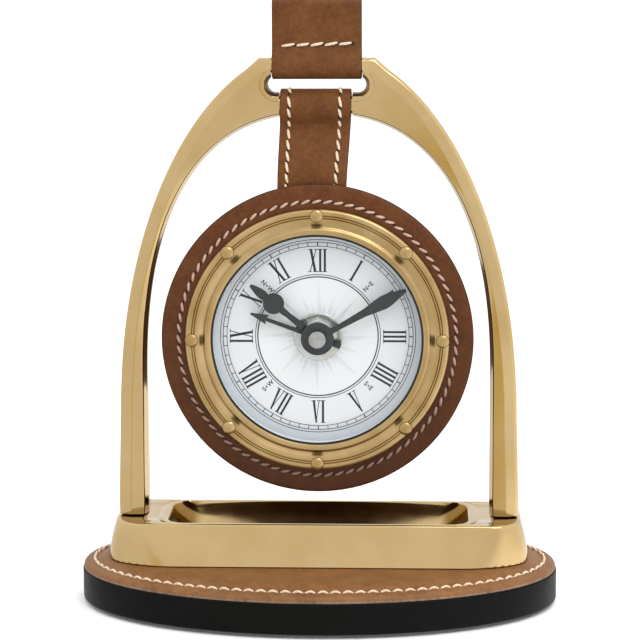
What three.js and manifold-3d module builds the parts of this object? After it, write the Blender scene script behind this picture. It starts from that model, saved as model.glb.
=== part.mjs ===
// Desk clock hanging in a riding stirrup: an oval plinth with a leather top, a cast brass
// stirrup (tread and bow), a leather pull loop, and a round clock hung from a leather strap.
// Millimetres, +Z up, the clock looks towards -Y, origin at the middle of the underside.

import * as THREE from 'three';
import { mergeVertices } from 'three/addons/utils/BufferGeometryUtils.js';
import Module from 'manifold-3d';

const wasm = await Module();
wasm.setup();

// Clearances
const RUNNING_GAP = 0.3;      // between pieces that turn or slide on each other
const FIT_GAP = 0.3;          // round a pin or screw in its hole
const LEATHER_GAP = 0.3;      // round leather that lies in a recess

// Plinth, its leather top and the felt below it
const PLINTH_LENGTH = 169;
const PLINTH_DEPTH = 101;
const PLINTH_HEIGHT = 12;
const PLINTH_EDGE = 1.2;
const FELT_THICKNESS = 1;
const FELT_INSET = 4;
const TOP_LEATHER = 3;
const TOP_LEATHER_INSET = 0.4;
const TOP_LEATHER_EDGE = 1;

// Tread of the stirrup, a shallow flared tray
const TREAD_HEIGHT = 15;
const TREAD_FOOT_LENGTH = 145.5;
const TREAD_FOOT_DEPTH = 43;
const TREAD_FOOT_CORNER = 19;
const TREAD_RIM_LENGTH = 140;
const TREAD_RIM_DEPTH = 37;
const TREAD_RIM_CORNER = 14;
const TREAD_EDGE = 1;
const BASIN_LENGTH = 108;
const BASIN_DEPTH = 29.5;
const BASIN_CORNER = 9;
const BASIN_DROP = 9.5;
const BASIN_SLOPE = 7;
const BEAD_SETBACK = 2.6;     // groove that sets off the basin's lip at both ends
const BEAD_WIDTH = 1.1;
const BEAD_SINK = 0.7;
const BEAD_END_REACH = 6;

// Bow of the stirrup: both edges are superellipses above straight branches
const BOW_SEAM = 0.3;
const BOW_INNER_HALF = 60.4;
const BOW_INNER_SPRING = 78.2;
const BOW_INNER_RISE = 95.3;
const BOW_INNER_POWER = 2.44;
const BOW_OUTER_HALF = 69.8;
const BOW_OUTER_SPRING = 68.2;
const BOW_OUTER_RISE = 129;
const BOW_TOP = 193;
const BOW_SECTION_POWER = 3;
const CROWN_HALF_DEPTH = 4.6;
const BRANCH_HALF_DEPTH = 5.6;
const FOOT_HALF_DEPTH = 8.5;
const FOOT_EDGE = 1;
const BRANCH_END = 40;        // where a branch ends and the crown begins, from the middle
const HEAD_HALF = 20;         // flat top of the crown, corner to corner
const HEAD_SHOULDER_HALF = 30.6;
const HEAD_SHOULDER_DROP = 9.4;
const HEAD_HALF_DEPTH = 4.2;

// Eye of the crown and the two round bars that the leather runs over
const EYE_HALF_LENGTH = 18.5;
const EYE_HALF_HEIGHT = 3.8;
const EYE_EDGE = 0.9;
const EYE_COLLAR = 1.8;
const EYE_COLLAR_PROUD = 0.35;
const EYE_COLLAR_EDGE = 0.4;
const UPPER_BAR_RADIUS = 2.7;
const LOWER_BAR_RADIUS = 3.3;
const LOWER_BAR_SINK = 0.1;   // below the top of the arch
const BAR_RUN_HALF = 16.1;
const BAR_SIDES = 20;

// Screws from below into the feet of the bow
const SCREW_RADIUS = 2.5;
const SCREW_HEAD_RADIUS = 4.4;
const SCREW_HEAD_HEIGHT = 3.2;
const SCREW_GRIP_IN_FOOT = 13;
const SCREW_SLOT = 1;
const SCREW_SLOT_DEPTH = 1.2;
const SCREW_CHAMFER = 0.6;
const SCREW_POINT = 0.8;
const WASHER_RADIUS = 5;
const WASHER_THICKNESS = 0.8;
const COUNTERBORE_RADIUS = 5.6;
const COUNTERBORE_DEPTH = 6;

// Leather pull loop on the upper bar
const LOOP_WIDTH = 31;
const LOOP_PLY = 1.8;
const LOOP_TOP = 213;
const LOOP_CLOSES_ABOVE_BAR = 7;
const LOOP_TURN = Math.PI / 6;    // where the ply leaves its round on the bar
const BORE_TURN = Math.PI / 5;
const LOOP_PULL = 0.88;       // how far up the plies close, as shares of the closing height
const BORE_PULL = 0.62;
const BORE_REACH = 0.86;

// Leather hanging strap on the lower bar
const STRAP_WIDTH_TOP = 25.8;
const STRAP_WIDTH_END = 24;
const STRAP_PLY = 2;
const STRAP_BEND_LENGTH = 16;
const STRAP_CLOSES_BELOW_BAR = 7;
const STRAP_SCREW_SPREAD = 7.5;
const STRAP_SCREW_RADIUS = 1.1;
const STRAP_SCREW_HEAD = 2.2;
const STRAP_SCREW_HEAD_HEIGHT = 0.8;
const STRAP_SCREW_LENGTH = 8;
const STRAP_SCREW_POINT = 2;
const STRAP_SCREW_SUNK = 0.1;
const STRAP_SCREW_RISE = 4.2;     // above the strap's end
const STRAP_END_MARGIN = 1.3;     // from the case's bore to the strap's end

// Clock case; depths are measured forwards from the middle of the drum
const CLOCK_HEIGHT = 95.5;
const CLOCK_SETBACK = 5.5;    // hangs the weight straight below the lower bar
const DRUM_RADIUS = 50.5;
const DRUM_WALL = 9.6;
const DRUM_HALF_DEPTH = 12;
const DRUM_EDGE = 1.2;
const LEATHER_PAST_DRUM = 4;
const FACE_LEATHER = 2;
const FACE_LEATHER_EDGE = 0.5;

// Bezel, glass and dial
const BEZEL_FLANGE = 5.2;     // reach over the leather, outwards from the bore
const BEZEL_LIP_REACH = 3.9;  // reach over the glass, inwards from the bore
const BEZEL_HEIGHT = 2.4;
const BEZEL_EDGE = 1.1;
const BEZEL_WALL = 1.8;
const GROOVE_INSETS = [2.15, 2.7];
const GROOVE_HALF = 0.15;
const GROOVE_SINK = 0.3;
const COVE_INSET = 1.1;       // from the bore in to the foot of the cove
const COVE_WIDTH = 1.4;
const COVE_SHOULDER = 0.2;
const COVE_DEPTH = 0.9;
const BEAD_STEP = 0.15;       // from the cove's foot to the bead inside it
const BEAD_RISE = 0.65;
const BEAD_CREST_INSET = 0.9;
const BEAD_CREST = 0.1;
const LIP_SLOPE_WIDTH = 0.2;
const LIP_SLOPE_DROP = 0.35;
const PIN_COUNT = 8;
const PIN_INSET = 2.4;
const PIN_HEAD_RADIUS = 2.15;
const PIN_HEAD_HEIGHT = 1.3;
const PIN_HEAD_RIM = 0.2;
const PIN_SHANK_RADIUS = 0.8;
const PIN_SHANK_IN_DRUM = 7;
const GLASS_THICKNESS = 1.2;
const GLASS_DOME = 1.5;
const GLASS_BEHIND_FRONT = 1;
const GLASS_IN_LIP = 0.4;
const DIAL_BEHIND_GLASS = 6.7;
const DIAL_THICKNESS = 0.6;
const SPACER_WALL = 0.9;
const TAB_COUNT = 4;
const TAB_WIDTH = 6;
const TAB_THICKNESS = 0.6;
const TAB_REACH = 3.2;
const TAB_ROOT = 0.9;

// Hand works, lowest first
const BUSHING_RADIUS = 4;
const BUSHING_COLLAR_RADIUS = 6.2;
const BUSHING_COLLAR_HEIGHT = 0.9;
const BUSHING_DEPTH = 4;
const DIAL_WASHER_RADIUS = 8.5;
const DIAL_WASHER_THICKNESS = 0.5;
const NUT_RADIUS = 6.4;
const NUT_HEIGHT = 1.5;
const PIPE_WALL = 0.6;
const SHAFT_RADIUS = 1.4;
const SEAT_FLANGE = 0.8;      // how far each pipe's seat stands out under its hand
const SEAT_HEIGHT = 0.3;
const PIPE_NOSE = 0.1;
const HAND_THICKNESS = 0.4;
const HUB_COVER = 0.5;        // from a hand's hole to the root of its blade
const WORKS_DEPTH = 5;
const ALARM_PIPE_REACH = 3;
const HOUR_PIPE_REACH = 4;
const ALARM_PIPE_THINNER = 0.1;
const ALARM_HUB_RADIUS = 4.9;
const ALARM_LENGTH = 25;
const ALARM_HEAD_LENGTH = 5.6;
const ALARM_HEAD_HALF = 1.75;
const ALARM_POINT_HALF = 0.3;
const ALARM_STEM_HALF = 0.8;
const ALARM_TAIL_LENGTH = 8.6;
const ALARM_TAIL_HALF = 1.15;
const HOUR_HUB_RADIUS = 5.2;
const HOUR_LENGTH = 30;
const HOUR_BLOB_RADIUS = 3.7;
const HOUR_BLOB_REACH = 19.6;
const HOUR_STEM_HALF = 1.2;
const HOUR_TIP_HALF = 0.95;
const MINUTE_HUB_RADIUS = 5.8;
const MINUTE_SHORT_OF_LIP = 1.6;
const MINUTE_ROOT_HALF = 1.15;
const MINUTE_WIDEST_HALF = 2.45;
const MINUTE_WIDEST_SHARE = 0.75;
const MINUTE_TIP_HALF = 0.6;
const CAP_RADIUS = 3.05;
const CAP_HEIGHT = 2.4;
const CAP_ROOF = 0.9;
const CAP_EDGE = 0.4;
const ALARM_ANGLE = 290;
const HOUR_ANGLE = 308.7;
const MINUTE_ANGLE = 60.7;

// Movement behind the dial, with its battery and setting knobs
const MOVEMENT_CLEARANCE = 3.4;   // from its corners to the case's bore
const MOVEMENT_DEPTH = 16;
const MOVEMENT_CORNER = 5;
const COVER_THICKNESS = 2;
const BATTERY_RADIUS = 7.1;
const BATTERY_END_ROOM = 7;
const BATTERY_SIDE_WALL = 3.9;
const BATTERY_EDGE = 0.4;
const BATTERY_NUB_RADIUS = 2.6;
const BATTERY_NUB = 1.4;
const WELL_FLOOR = 1.2;
const CONTACT_THICKNESS = 0.5;
const CONTACT_SIDE = 9;
const CONTACT_GAP = 0.1;
const KNOB_RADIUS = 6.2;
const KNOB_HEIGHT = 3.6;
const KNOB_RIBS = 12;
const KNOB_RIB_DEPTH = 0.6;
const KNOB_HOLE_SPARE = 0.5;
const KNOB_STEM_RADIUS = 1.5;
const KNOB_STEM_LENGTH = 6;
const KNOB_SPREAD = 14;
const KNOB_RISE = 6;
const SWITCH_RISE = 20;
const SWITCH_SIDE = 3;
const SWITCH_HEIGHT = 3;
const SWITCH_TRAVEL = 4;
const SWITCH_SINK = 3;

// Derived levels of the stand
const PLINTH_BOTTOM = FELT_THICKNESS;
const PLINTH_TOP = PLINTH_BOTTOM + PLINTH_HEIGHT;
const TREAD_BOTTOM = PLINTH_TOP + TOP_LEATHER;
const TREAD_TOP = TREAD_BOTTOM + TREAD_HEIGHT;
const BOW_BOTTOM = TREAD_TOP + BOW_SEAM;
const FOOT_X = (BOW_INNER_HALF + BOW_OUTER_HALF) / 2;
const LOWER_BAR_Z = BOW_INNER_SPRING + BOW_INNER_RISE + LOWER_BAR_RADIUS - LOWER_BAR_SINK;
const EYE_Z = LOWER_BAR_Z + LOWER_BAR_RADIUS + EYE_HALF_HEIGHT;
const UPPER_BAR_Z = BOW_TOP - UPPER_BAR_RADIUS;
const SCREW_HOLE = SCREW_RADIUS + FIT_GAP;
const SCREW_SEAT = PLINTH_BOTTOM + COUNTERBORE_DEPTH;

// Derived radii of the clock, outwards in
const DRUM_BORE = DRUM_RADIUS - DRUM_WALL;
const FACE_LEATHER_RADIUS = DRUM_RADIUS + LEATHER_PAST_DRUM;
const BEZEL_RADIUS = DRUM_BORE + BEZEL_FLANGE;
const BEZEL_LIP = DRUM_BORE - BEZEL_LIP_REACH;
const COVE_RADIUS = DRUM_BORE - COVE_INSET;
const PIN_CIRCLE = BEZEL_RADIUS - PIN_INSET;
const MINUTE_LENGTH = BEZEL_LIP - MINUTE_SHORT_OF_LIP;
const STRAP_END_UP = DRUM_BORE + STRAP_END_MARGIN;
const STRAP_SCREW_UP = STRAP_END_UP + STRAP_SCREW_RISE;

// Derived sizes of the movement: a rounded square that fits the bore, and a cell to fit it
const CORNER_CUT = MOVEMENT_CORNER * (Math.SQRT2 - 1);
const MOVEMENT_SIDE = Math.SQRT2 * (DRUM_BORE - MOVEMENT_CLEARANCE + CORNER_CUT);
const BATTERY_BODY = MOVEMENT_SIDE - BATTERY_END_ROOM;
const BATTERY_DROP = MOVEMENT_SIDE / 2 - BATTERY_RADIUS - BATTERY_SIDE_WALL;

// Derived depths of the clock, forwards from the middle of the drum
const LEATHER_BACK = DRUM_HALF_DEPTH;
const LEATHER_FRONT = LEATHER_BACK + FACE_LEATHER;
const BEZEL_FRONT = LEATHER_FRONT + BEZEL_HEIGHT;
const GLASS_RIM_FRONT = BEZEL_FRONT - GLASS_BEHIND_FRONT;
const GLASS_RIM_BACK = GLASS_RIM_FRONT - GLASS_THICKNESS;
const DIAL_FRONT = GLASS_RIM_BACK - DIAL_BEHIND_GLASS;
const DIAL_BACK = DIAL_FRONT - DIAL_THICKNESS;
const MOVEMENT_FRONT = DIAL_BACK - BUSHING_COLLAR_HEIGHT;
const MOVEMENT_BACK = MOVEMENT_FRONT - MOVEMENT_DEPTH;
const SKIRT_RADIUS = DRUM_BORE - LEATHER_GAP;
const SKIRT_BORE = SKIRT_RADIUS - BEZEL_WALL;
const GLASS_RADIUS = SKIRT_BORE - FIT_GAP;
const PIN_HOLE = PIN_SHANK_RADIUS + FIT_GAP;
const NUT_TOP = DIAL_FRONT + DIAL_WASHER_THICKNESS + NUT_HEIGHT;
const HAND_STEP = SEAT_HEIGHT + HAND_THICKNESS + PIPE_NOSE + RUNNING_GAP;
const ALARM_SEAT = NUT_TOP + RUNNING_GAP + SEAT_HEIGHT;
const HOUR_SEAT = ALARM_SEAT + HAND_STEP;
const MINUTE_SEAT = HOUR_SEAT + HAND_STEP;
const HOUR_PIPE_BORE = SHAFT_RADIUS + RUNNING_GAP;
const HOUR_PIPE_RADIUS = HOUR_PIPE_BORE + PIPE_WALL;
const ALARM_PIPE_BORE = HOUR_PIPE_RADIUS + RUNNING_GAP;
const ALARM_PIPE_RADIUS = ALARM_PIPE_BORE + PIPE_WALL - ALARM_PIPE_THINNER;
const WORKS_BORE = BUSHING_RADIUS + FIT_GAP;

// Finishes
const BRASS = { color: 0xc8a86a, roughness: 0.25, metalness: 1 };
const BLACK_LACQUER = { color: 0x0f0f0d, roughness: 0.25, metalness: 0 };
const TAN_LEATHER = { color: 0x96694a, roughness: 0.6, metalness: 0 };
const BROWN_LEATHER = { color: 0x663f28, roughness: 0.6, metalness: 0 };
const STRAP_LEATHER = { color: 0x734730, roughness: 0.6, metalness: 0 };
const FELT = { color: 0x1a1a18, roughness: 0.95, metalness: 0 };
const STEEL = { color: 0xb4b7b4, roughness: 0.3, metalness: 1 };
const GLASS = { color: 0xf4f8fa, roughness: 0.05, metalness: 0 };
const DIAL_PAINT = { color: 0xd5d9dd, roughness: 0.5, metalness: 0 };
const WHITE_PLASTIC = { color: 0xdadddf, roughness: 0.5, metalness: 0 };
const BLACK_PLASTIC = { color: 0x1b1c1d, roughness: 0.5, metalness: 0 };
const HAND_BLACK = { color: 0x2d3130, roughness: 0.4, metalness: 0 };
const BATTERY_JACKET = { color: 0x3a5f8a, roughness: 0.4, metalness: 0.2 };

const CIRCLE = 40;            // sides of the clock's large turned pieces
const SMALL_CIRCLE = 12;      // sides of pins, pipes and screws
const OVAL_POINTS = 56;       // points round the plinth's ovals

// Solids and shapes

function solidOf(geometry) {
  const bare = geometry.clone();
  bare.deleteAttribute('normal');
  bare.deleteAttribute('uv');
  const merged = mergeVertices(bare, 1e-4);
  return new wasm.Manifold(new wasm.Mesh({
    numProp: 3,
    vertProperties: Float32Array.from(merged.attributes.position.array),
    triVerts: Uint32Array.from(merged.index.array),
  }));
}

function geometryOf(solid) {
  const mesh = solid.getMesh();
  const geometry = new THREE.BufferGeometry();
  geometry.setAttribute('position', new THREE.BufferAttribute(mesh.vertProperties, mesh.numProp));
  geometry.setIndex(new THREE.BufferAttribute(mesh.triVerts, 1));
  geometry.computeVertexNormals();
  return geometry;
}

function cut(body, ...tools) {
  return geometryOf(tools.reduce((left, tool) => left.subtract(solidOf(tool)), solidOf(body)));
}

function join(...pieces) {
  return geometryOf(pieces.map(solidOf).reduce((whole, piece) => whole.add(piece)));
}

function overlapOf(first, second) {
  return geometryOf(solidOf(first).intersect(solidOf(second)));
}

// Closed solid through rings of equal point count, listed from the bottom up, each ring
// counter-clockwise seen from above; the end rings are closed by fans round their centres.
function stacked(rings) {
  const count = rings[0].length;
  const points = rings.flat();
  const faces = [];
  for (let level = 0; level + 1 < rings.length; level += 1) {
    for (let k = 0; k < count; k += 1) {
      const a = level * count + k;
      const b = level * count + ((k + 1) % count);
      faces.push(a, b, b + count, a, b + count, a + count);
    }
  }
  const middle = (ring) => ring
    .reduce((sum, point) => sum.add(point), new THREE.Vector3())
    .divideScalar(count);
  const bottom = points.push(middle(rings[0])) - 1;
  const top = points.push(middle(rings[rings.length - 1])) - 1;
  const last = (rings.length - 1) * count;
  for (let k = 0; k < count; k += 1) {
    const next = (k + 1) % count;
    faces.push(bottom, next, k, top, last + k, last + next);
  }
  const geometry = new THREE.BufferGeometry().setFromPoints(points);
  geometry.setIndex(faces);
  geometry.computeVertexNormals();
  return geometry;
}

function ellipseRing(halfX, halfY, z, count = OVAL_POINTS) {
  return Array.from({ length: count }, (_, k) => {
    const angle = (2 * Math.PI * k) / count;
    return new THREE.Vector3(halfX * Math.cos(angle), halfY * Math.sin(angle), z);
  });
}

// Rectangle with round corners, as a ring at the height z.
function roundedRing(length, depth, corner, z, perCorner = 8) {
  const radius = Math.max(0.2, Math.min(corner, length / 2 - 0.1, depth / 2 - 0.1));
  const centres = [[1, 1], [-1, 1], [-1, -1], [1, -1]];
  return centres.flatMap(([sideX, sideY], quarter) =>
    Array.from({ length: perCorner }, (_, k) => {
      const angle = (Math.PI / 2) * (quarter + k / (perCorner - 1));
      return new THREE.Vector3(
        sideX * (length / 2 - radius) + radius * Math.cos(angle),
        sideY * (depth / 2 - radius) + radius * Math.sin(angle),
        z,
      );
    }));
}

// Turned solid about the Z axis from [radius, height] pairs that close on themselves.
function turned(profile, sides = CIRCLE) {
  const points = profile.map(([radius, height]) => new THREE.Vector2(radius, height));
  if (points[0].x > 0) {
    points.push(points[0].clone());
  }
  return new THREE.LatheGeometry(points, sides).rotateX(Math.PI / 2);
}

function disc(radius, from, to, sides = SMALL_CIRCLE) {
  return turned([[0, from], [radius, from], [radius, to], [0, to]], sides);
}

function tube(bore, radius, from, to, sides = SMALL_CIRCLE) {
  return turned([[bore, from], [radius, from], [radius, to], [bore, to]], sides);
}

function block(sizeX, sizeY, sizeZ, x = 0, y = 0, z = 0) {
  return new THREE.BoxGeometry(sizeX, sizeY, sizeZ).translate(x, y, z);
}

function plate(shape, from, to, curveSegments = 8) {
  return new THREE.ExtrudeGeometry(shape, {
    depth: to - from,
    bevelEnabled: false,
    curveSegments,
  }).translate(0, 0, from);
}

// A shape drawn in Y and Z, drawn out along X to both sides.
function drawnAcross(shape, width, curveSegments = 8) {
  const geometry = plate(shape, -width / 2, width / 2, curveSegments);
  const axes = new THREE.Matrix4().set(0, 0, 1, 0, 1, 0, 0, 0, 0, 1, 0, 0, 0, 0, 0, 1);
  return geometry.applyMatrix4(axes);
}

// Turns what was made flat, facing +Z, to face the viewer at -Y.
function facing(geometry) {
  return geometry.rotateX(Math.PI / 2);
}

function material(finish) {
  return new THREE.MeshStandardMaterial(finish);
}

function piece(name, geometry, finish) {
  const mesh = new THREE.Mesh(geometry, material(finish));
  mesh.name = name;
  return mesh;
}

// Plinth, leather top and felt

function makeFelt() {
  const halfX = PLINTH_LENGTH / 2 - FELT_INSET;
  const halfY = PLINTH_DEPTH / 2 - FELT_INSET;
  return stacked([ellipseRing(halfX, halfY, 0), ellipseRing(halfX, halfY, FELT_THICKNESS)]);
}

function makePlinth() {
  const ring = (inset, z) => ellipseRing(PLINTH_LENGTH / 2 - inset, PLINTH_DEPTH / 2 - inset, z);
  const body = stacked([
    ring(PLINTH_EDGE, PLINTH_BOTTOM),
    ring(PLINTH_EDGE * 0.3, PLINTH_BOTTOM + PLINTH_EDGE * 0.3),
    ring(0, PLINTH_BOTTOM + PLINTH_EDGE),
    ring(0, PLINTH_TOP - PLINTH_EDGE / 2),
    ring(PLINTH_EDGE / 2, PLINTH_TOP),
  ]);
  const drill = (side) => [
    disc(COUNTERBORE_RADIUS, PLINTH_BOTTOM - 1, SCREW_SEAT).translate(side * FOOT_X, 0, 0),
    disc(SCREW_HOLE, PLINTH_BOTTOM, PLINTH_TOP + 1).translate(side * FOOT_X, 0, 0),
  ];
  return cut(body, ...drill(-1), ...drill(1));
}

function makeTopLeather() {
  const ring = (inset, z) => ellipseRing(
    PLINTH_LENGTH / 2 - TOP_LEATHER_INSET - inset,
    PLINTH_DEPTH / 2 - TOP_LEATHER_INSET - inset,
    z,
  );
  const body = stacked([
    ring(0, PLINTH_TOP),
    ring(0, TREAD_BOTTOM - TOP_LEATHER_EDGE),
    ring(TOP_LEATHER_EDGE * 0.3, TREAD_BOTTOM - TOP_LEATHER_EDGE * 0.3),
    ring(TOP_LEATHER_EDGE, TREAD_BOTTOM),
  ]);
  const hole = (side) => disc(SCREW_HOLE, PLINTH_TOP - 1, TREAD_BOTTOM + 1)
    .translate(side * FOOT_X, 0, 0);
  return cut(body, hole(-1), hole(1));
}

// Stirrup

function makeTread() {
  const rim = (inset, z) => roundedRing(
    TREAD_RIM_LENGTH - 2 * inset,
    TREAD_RIM_DEPTH - 2 * inset,
    TREAD_RIM_CORNER - inset,
    z,
  );
  const basin = (share, z) => roundedRing(
    BASIN_LENGTH - 2 * BASIN_SLOPE * share,
    BASIN_DEPTH - 2 * BASIN_SLOPE * share,
    BASIN_CORNER * (1 - share * 0.4),
    z,
  );
  const slope = [0, 0.2, 0.45, 0.75, 1].map((share) => {
    const fall = Math.sin((share * Math.PI) / 2);
    return basin(share, TREAD_TOP - BASIN_DROP * fall);
  });
  const body = stacked([
    roundedRing(TREAD_FOOT_LENGTH, TREAD_FOOT_DEPTH, TREAD_FOOT_CORNER, TREAD_BOTTOM),
    rim(0, TREAD_TOP - TREAD_EDGE),
    rim(TREAD_EDGE * 0.3, TREAD_TOP - TREAD_EDGE * 0.3),
    rim(TREAD_EDGE, TREAD_TOP),
    ...slope,
  ]);
  const bead = (grow, from, to) => stacked([
    roundedRing(BASIN_LENGTH + 2 * grow, BASIN_DEPTH + 2 * grow, BASIN_CORNER + grow, from),
    roundedRing(BASIN_LENGTH + 2 * grow, BASIN_DEPTH + 2 * grow, BASIN_CORNER + grow, to),
  ]);
  const ring = cut(
    bead(BEAD_SETBACK + BEAD_WIDTH, TREAD_TOP - BEAD_SINK, TREAD_TOP + 1),
    bead(BEAD_SETBACK, TREAD_TOP - BEAD_SINK - 1, TREAD_TOP + 2),
  );
  const endReach = BASIN_LENGTH / 2 + BEAD_SETBACK + BEAD_WIDTH;
  const endDepth = BASIN_DEPTH - BASIN_CORNER;
  const grooves = [-1, 1].map((side) => overlapOf(
    ring,
    block(BEAD_END_REACH, endDepth, 6, side * (endReach - BEAD_END_REACH / 2), 0, TREAD_TOP),
  ));
  const holes = [-1, 1].map((side) => disc(SCREW_HOLE, TREAD_BOTTOM - 1, TREAD_TOP + 1)
    .translate(side * FOOT_X, 0, 0));
  return cut(body, ...grooves, ...holes);
}

function smooth(share) {
  const t = Math.min(1, Math.max(0, share));
  return t * t * (3 - 2 * t);
}

// Half depth of the bow, front to back, by height: feet wide, branches even, crown slim.
function bowHalfDepth(z) {
  const foot = 1 - smooth((z - BOW_BOTTOM) / (BOW_INNER_SPRING - BOW_BOTTOM));
  const crown = smooth((z - BOW_INNER_SPRING) / (BOW_TOP - BOW_INNER_SPRING));
  return BRANCH_HALF_DEPTH
    + foot * (FOOT_HALF_DEPTH - BRANCH_HALF_DEPTH)
    + crown * (CROWN_HALF_DEPTH - BRANCH_HALF_DEPTH);
}

// Point and outward direction on the inner edge; the angle runs from the right spring (0)
// over the crown to the left spring (pi).
function innerEdge(angle) {
  const c = Math.cos(angle);
  const s = Math.sin(angle);
  const root = 2 / BOW_INNER_POWER;
  const x = BOW_INNER_HALF * Math.sign(c) * Math.abs(c) ** root;
  const rise = BOW_INNER_RISE * Math.abs(s) ** root;
  const slope = BOW_INNER_POWER - 1;
  const normal = new THREE.Vector2(
    (Math.sign(x) * Math.abs(x / BOW_INNER_HALF) ** slope) / BOW_INNER_HALF,
    ((rise / BOW_INNER_RISE) ** slope) / BOW_INNER_RISE,
  ).normalize();
  return { point: new THREE.Vector2(x, BOW_INNER_SPRING + rise), normal };
}

// Where the line from the inner edge meets the outer edge: the ellipse, the straight
// branch below it or the flat top.
function outerPoint({ point, normal }) {
  const px = point.x / BOW_OUTER_HALF;
  const pz = (point.y - BOW_OUTER_SPRING) / BOW_OUTER_RISE;
  const nx = normal.x / BOW_OUTER_HALF;
  const nz = normal.y / BOW_OUTER_RISE;
  const a = nx * nx + nz * nz;
  const b = px * nx + pz * nz;
  const c = px * px + pz * pz - 1;
  let reach = (-b + Math.sqrt(b * b - a * c)) / a;
  if (point.y + reach * normal.y > BOW_TOP) {
    reach = (BOW_TOP - point.y) / normal.y;
  }
  return point.clone().addScaledVector(normal, reach);
}

// One cross-section of the bow between its edges, a rounded rectangle seen along the arch.
function bowSection(inner, outer, inset = 0, count = 16) {
  const middle = inner.clone().add(outer).multiplyScalar(0.5);
  const half = outer.clone().sub(inner).multiplyScalar(0.5);
  const width = half.length() - inset;
  const across = half.normalize();
  const depth = bowHalfDepth(middle.y) - inset;
  const root = 2 / BOW_SECTION_POWER;
  return Array.from({ length: count }, (_, k) => {
    const angle = (2 * Math.PI * k) / count;
    const u = width * Math.sign(Math.cos(angle)) * Math.abs(Math.cos(angle)) ** root;
    const v = depth * Math.sign(Math.sin(angle)) * Math.abs(Math.sin(angle)) ** root;
    return new THREE.Vector3(middle.x + across.x * u, v, middle.y + across.y * u);
  });
}

function bowArch() {
  const legHeights = [0, 0.25, 0.5, 0.75].map((share) =>
    BOW_BOTTOM + FOOT_EDGE + share * (BOW_INNER_SPRING - BOW_BOTTOM - FOOT_EDGE));
  const leg = (side) => (z) => bowSection(
    new THREE.Vector2(side * BOW_INNER_HALF, z),
    new THREE.Vector2(side * BOW_OUTER_HALF, z),
  );
  const sole = (side, inset, z) => bowSection(
    new THREE.Vector2(side * BOW_INNER_HALF, z),
    new THREE.Vector2(side * BOW_OUTER_HALF, z),
    inset,
  );
  const steps = 34;
  const arch = Array.from({ length: steps + 1 }, (_, k) => {
    const edge = innerEdge((Math.PI * k) / steps);
    return bowSection(edge.point, outerPoint(edge));
  });
  return stacked([
    sole(1, FOOT_EDGE, BOW_BOTTOM),
    sole(1, FOOT_EDGE * 0.3, BOW_BOTTOM + FOOT_EDGE * 0.3),
    ...legHeights.map(leg(1)),
    ...arch,
    ...legHeights.reverse().map(leg(-1)),
    sole(-1, FOOT_EDGE * 0.3, BOW_BOTTOM + FOOT_EDGE * 0.3),
    sole(-1, FOOT_EDGE, BOW_BOTTOM),
  ]);
}

// Rounded slot tool or collar that runs front to back at the height of the eye.
function eyeSlot(levels) {
  const rings = levels.map(([depth, grow]) => roundedRing(
    2 * (EYE_HALF_LENGTH + grow),
    2 * (EYE_HALF_HEIGHT + grow),
    EYE_HALF_HEIGHT + grow,
    depth,
  ));
  return facing(stacked(rings)).translate(0, 0, EYE_Z);
}

function crownHead() {
  const shoulder = BOW_TOP - HEAD_SHOULDER_DROP;
  const outline = new THREE.Shape([
    new THREE.Vector2(-HEAD_HALF, BOW_TOP),
    new THREE.Vector2(-HEAD_SHOULDER_HALF, shoulder),
    new THREE.Vector2(-HEAD_HALF, LOWER_BAR_Z),
    new THREE.Vector2(HEAD_HALF, LOWER_BAR_Z),
    new THREE.Vector2(HEAD_SHOULDER_HALF, shoulder),
    new THREE.Vector2(HEAD_HALF, BOW_TOP),
  ]);
  const edge = HEAD_HALF_DEPTH / 5;
  const geometry = new THREE.ExtrudeGeometry(outline, {
    depth: 2 * (HEAD_HALF_DEPTH - edge),
    bevelThickness: edge,
    bevelSize: edge,
    bevelOffset: -edge,
    bevelSegments: 2,
  });
  return facing(geometry.translate(0, 0, edge - HEAD_HALF_DEPTH));
}

function makeBow() {
  const face = CROWN_HALF_DEPTH + EYE_COLLAR_PROUD;
  const collar = eyeSlot([
    [-face, EYE_COLLAR - EYE_COLLAR_EDGE],
    [EYE_COLLAR_EDGE - face, EYE_COLLAR],
    [face - EYE_COLLAR_EDGE, EYE_COLLAR],
    [face, EYE_COLLAR - EYE_COLLAR_EDGE],
  ]);
  const slot = eyeSlot([
    [-face - 1, EYE_EDGE * 1.7],
    [-face, EYE_EDGE],
    [-face + EYE_EDGE * 0.5, EYE_EDGE * 0.3],
    [-face + EYE_EDGE * 1.4, 0],
    [face - EYE_EDGE * 1.4, 0],
    [face - EYE_EDGE * 0.5, EYE_EDGE * 0.3],
    [face, EYE_EDGE],
    [face + 1, EYE_EDGE * 1.7],
  ]);
  const window = (from, to) => block(
    2 * BAR_RUN_HALF,
    4 * CROWN_HALF_DEPTH,
    to - from,
    0,
    0,
    (from + to) / 2,
  );
  const barLength = 2 * BAR_RUN_HALF + 2;
  const bar = (radius, z) => new THREE.CylinderGeometry(radius, radius, barLength, BAR_SIDES)
    .rotateZ(Math.PI / 2)
    .translate(0, 0, z);
  const crown = cut(
    join(bowArch(), crownHead(), collar),
    slot,
    window(EYE_Z + EYE_HALF_HEIGHT / 2, BOW_TOP + 2),
    window(LOWER_BAR_Z - LOWER_BAR_RADIUS - 2, EYE_Z - EYE_HALF_HEIGHT / 2),
  );
  const tapped = [-1, 1].map((side) => disc(
    SCREW_HOLE,
    BOW_BOTTOM - 1,
    BOW_BOTTOM + SCREW_GRIP_IN_FOOT + 1,
  ).translate(side * FOOT_X, 0, 0));
  return cut(
    join(crown, bar(UPPER_BAR_RADIUS, UPPER_BAR_Z), bar(LOWER_BAR_RADIUS, LOWER_BAR_Z)),
    ...tapped,
  );
}

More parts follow.
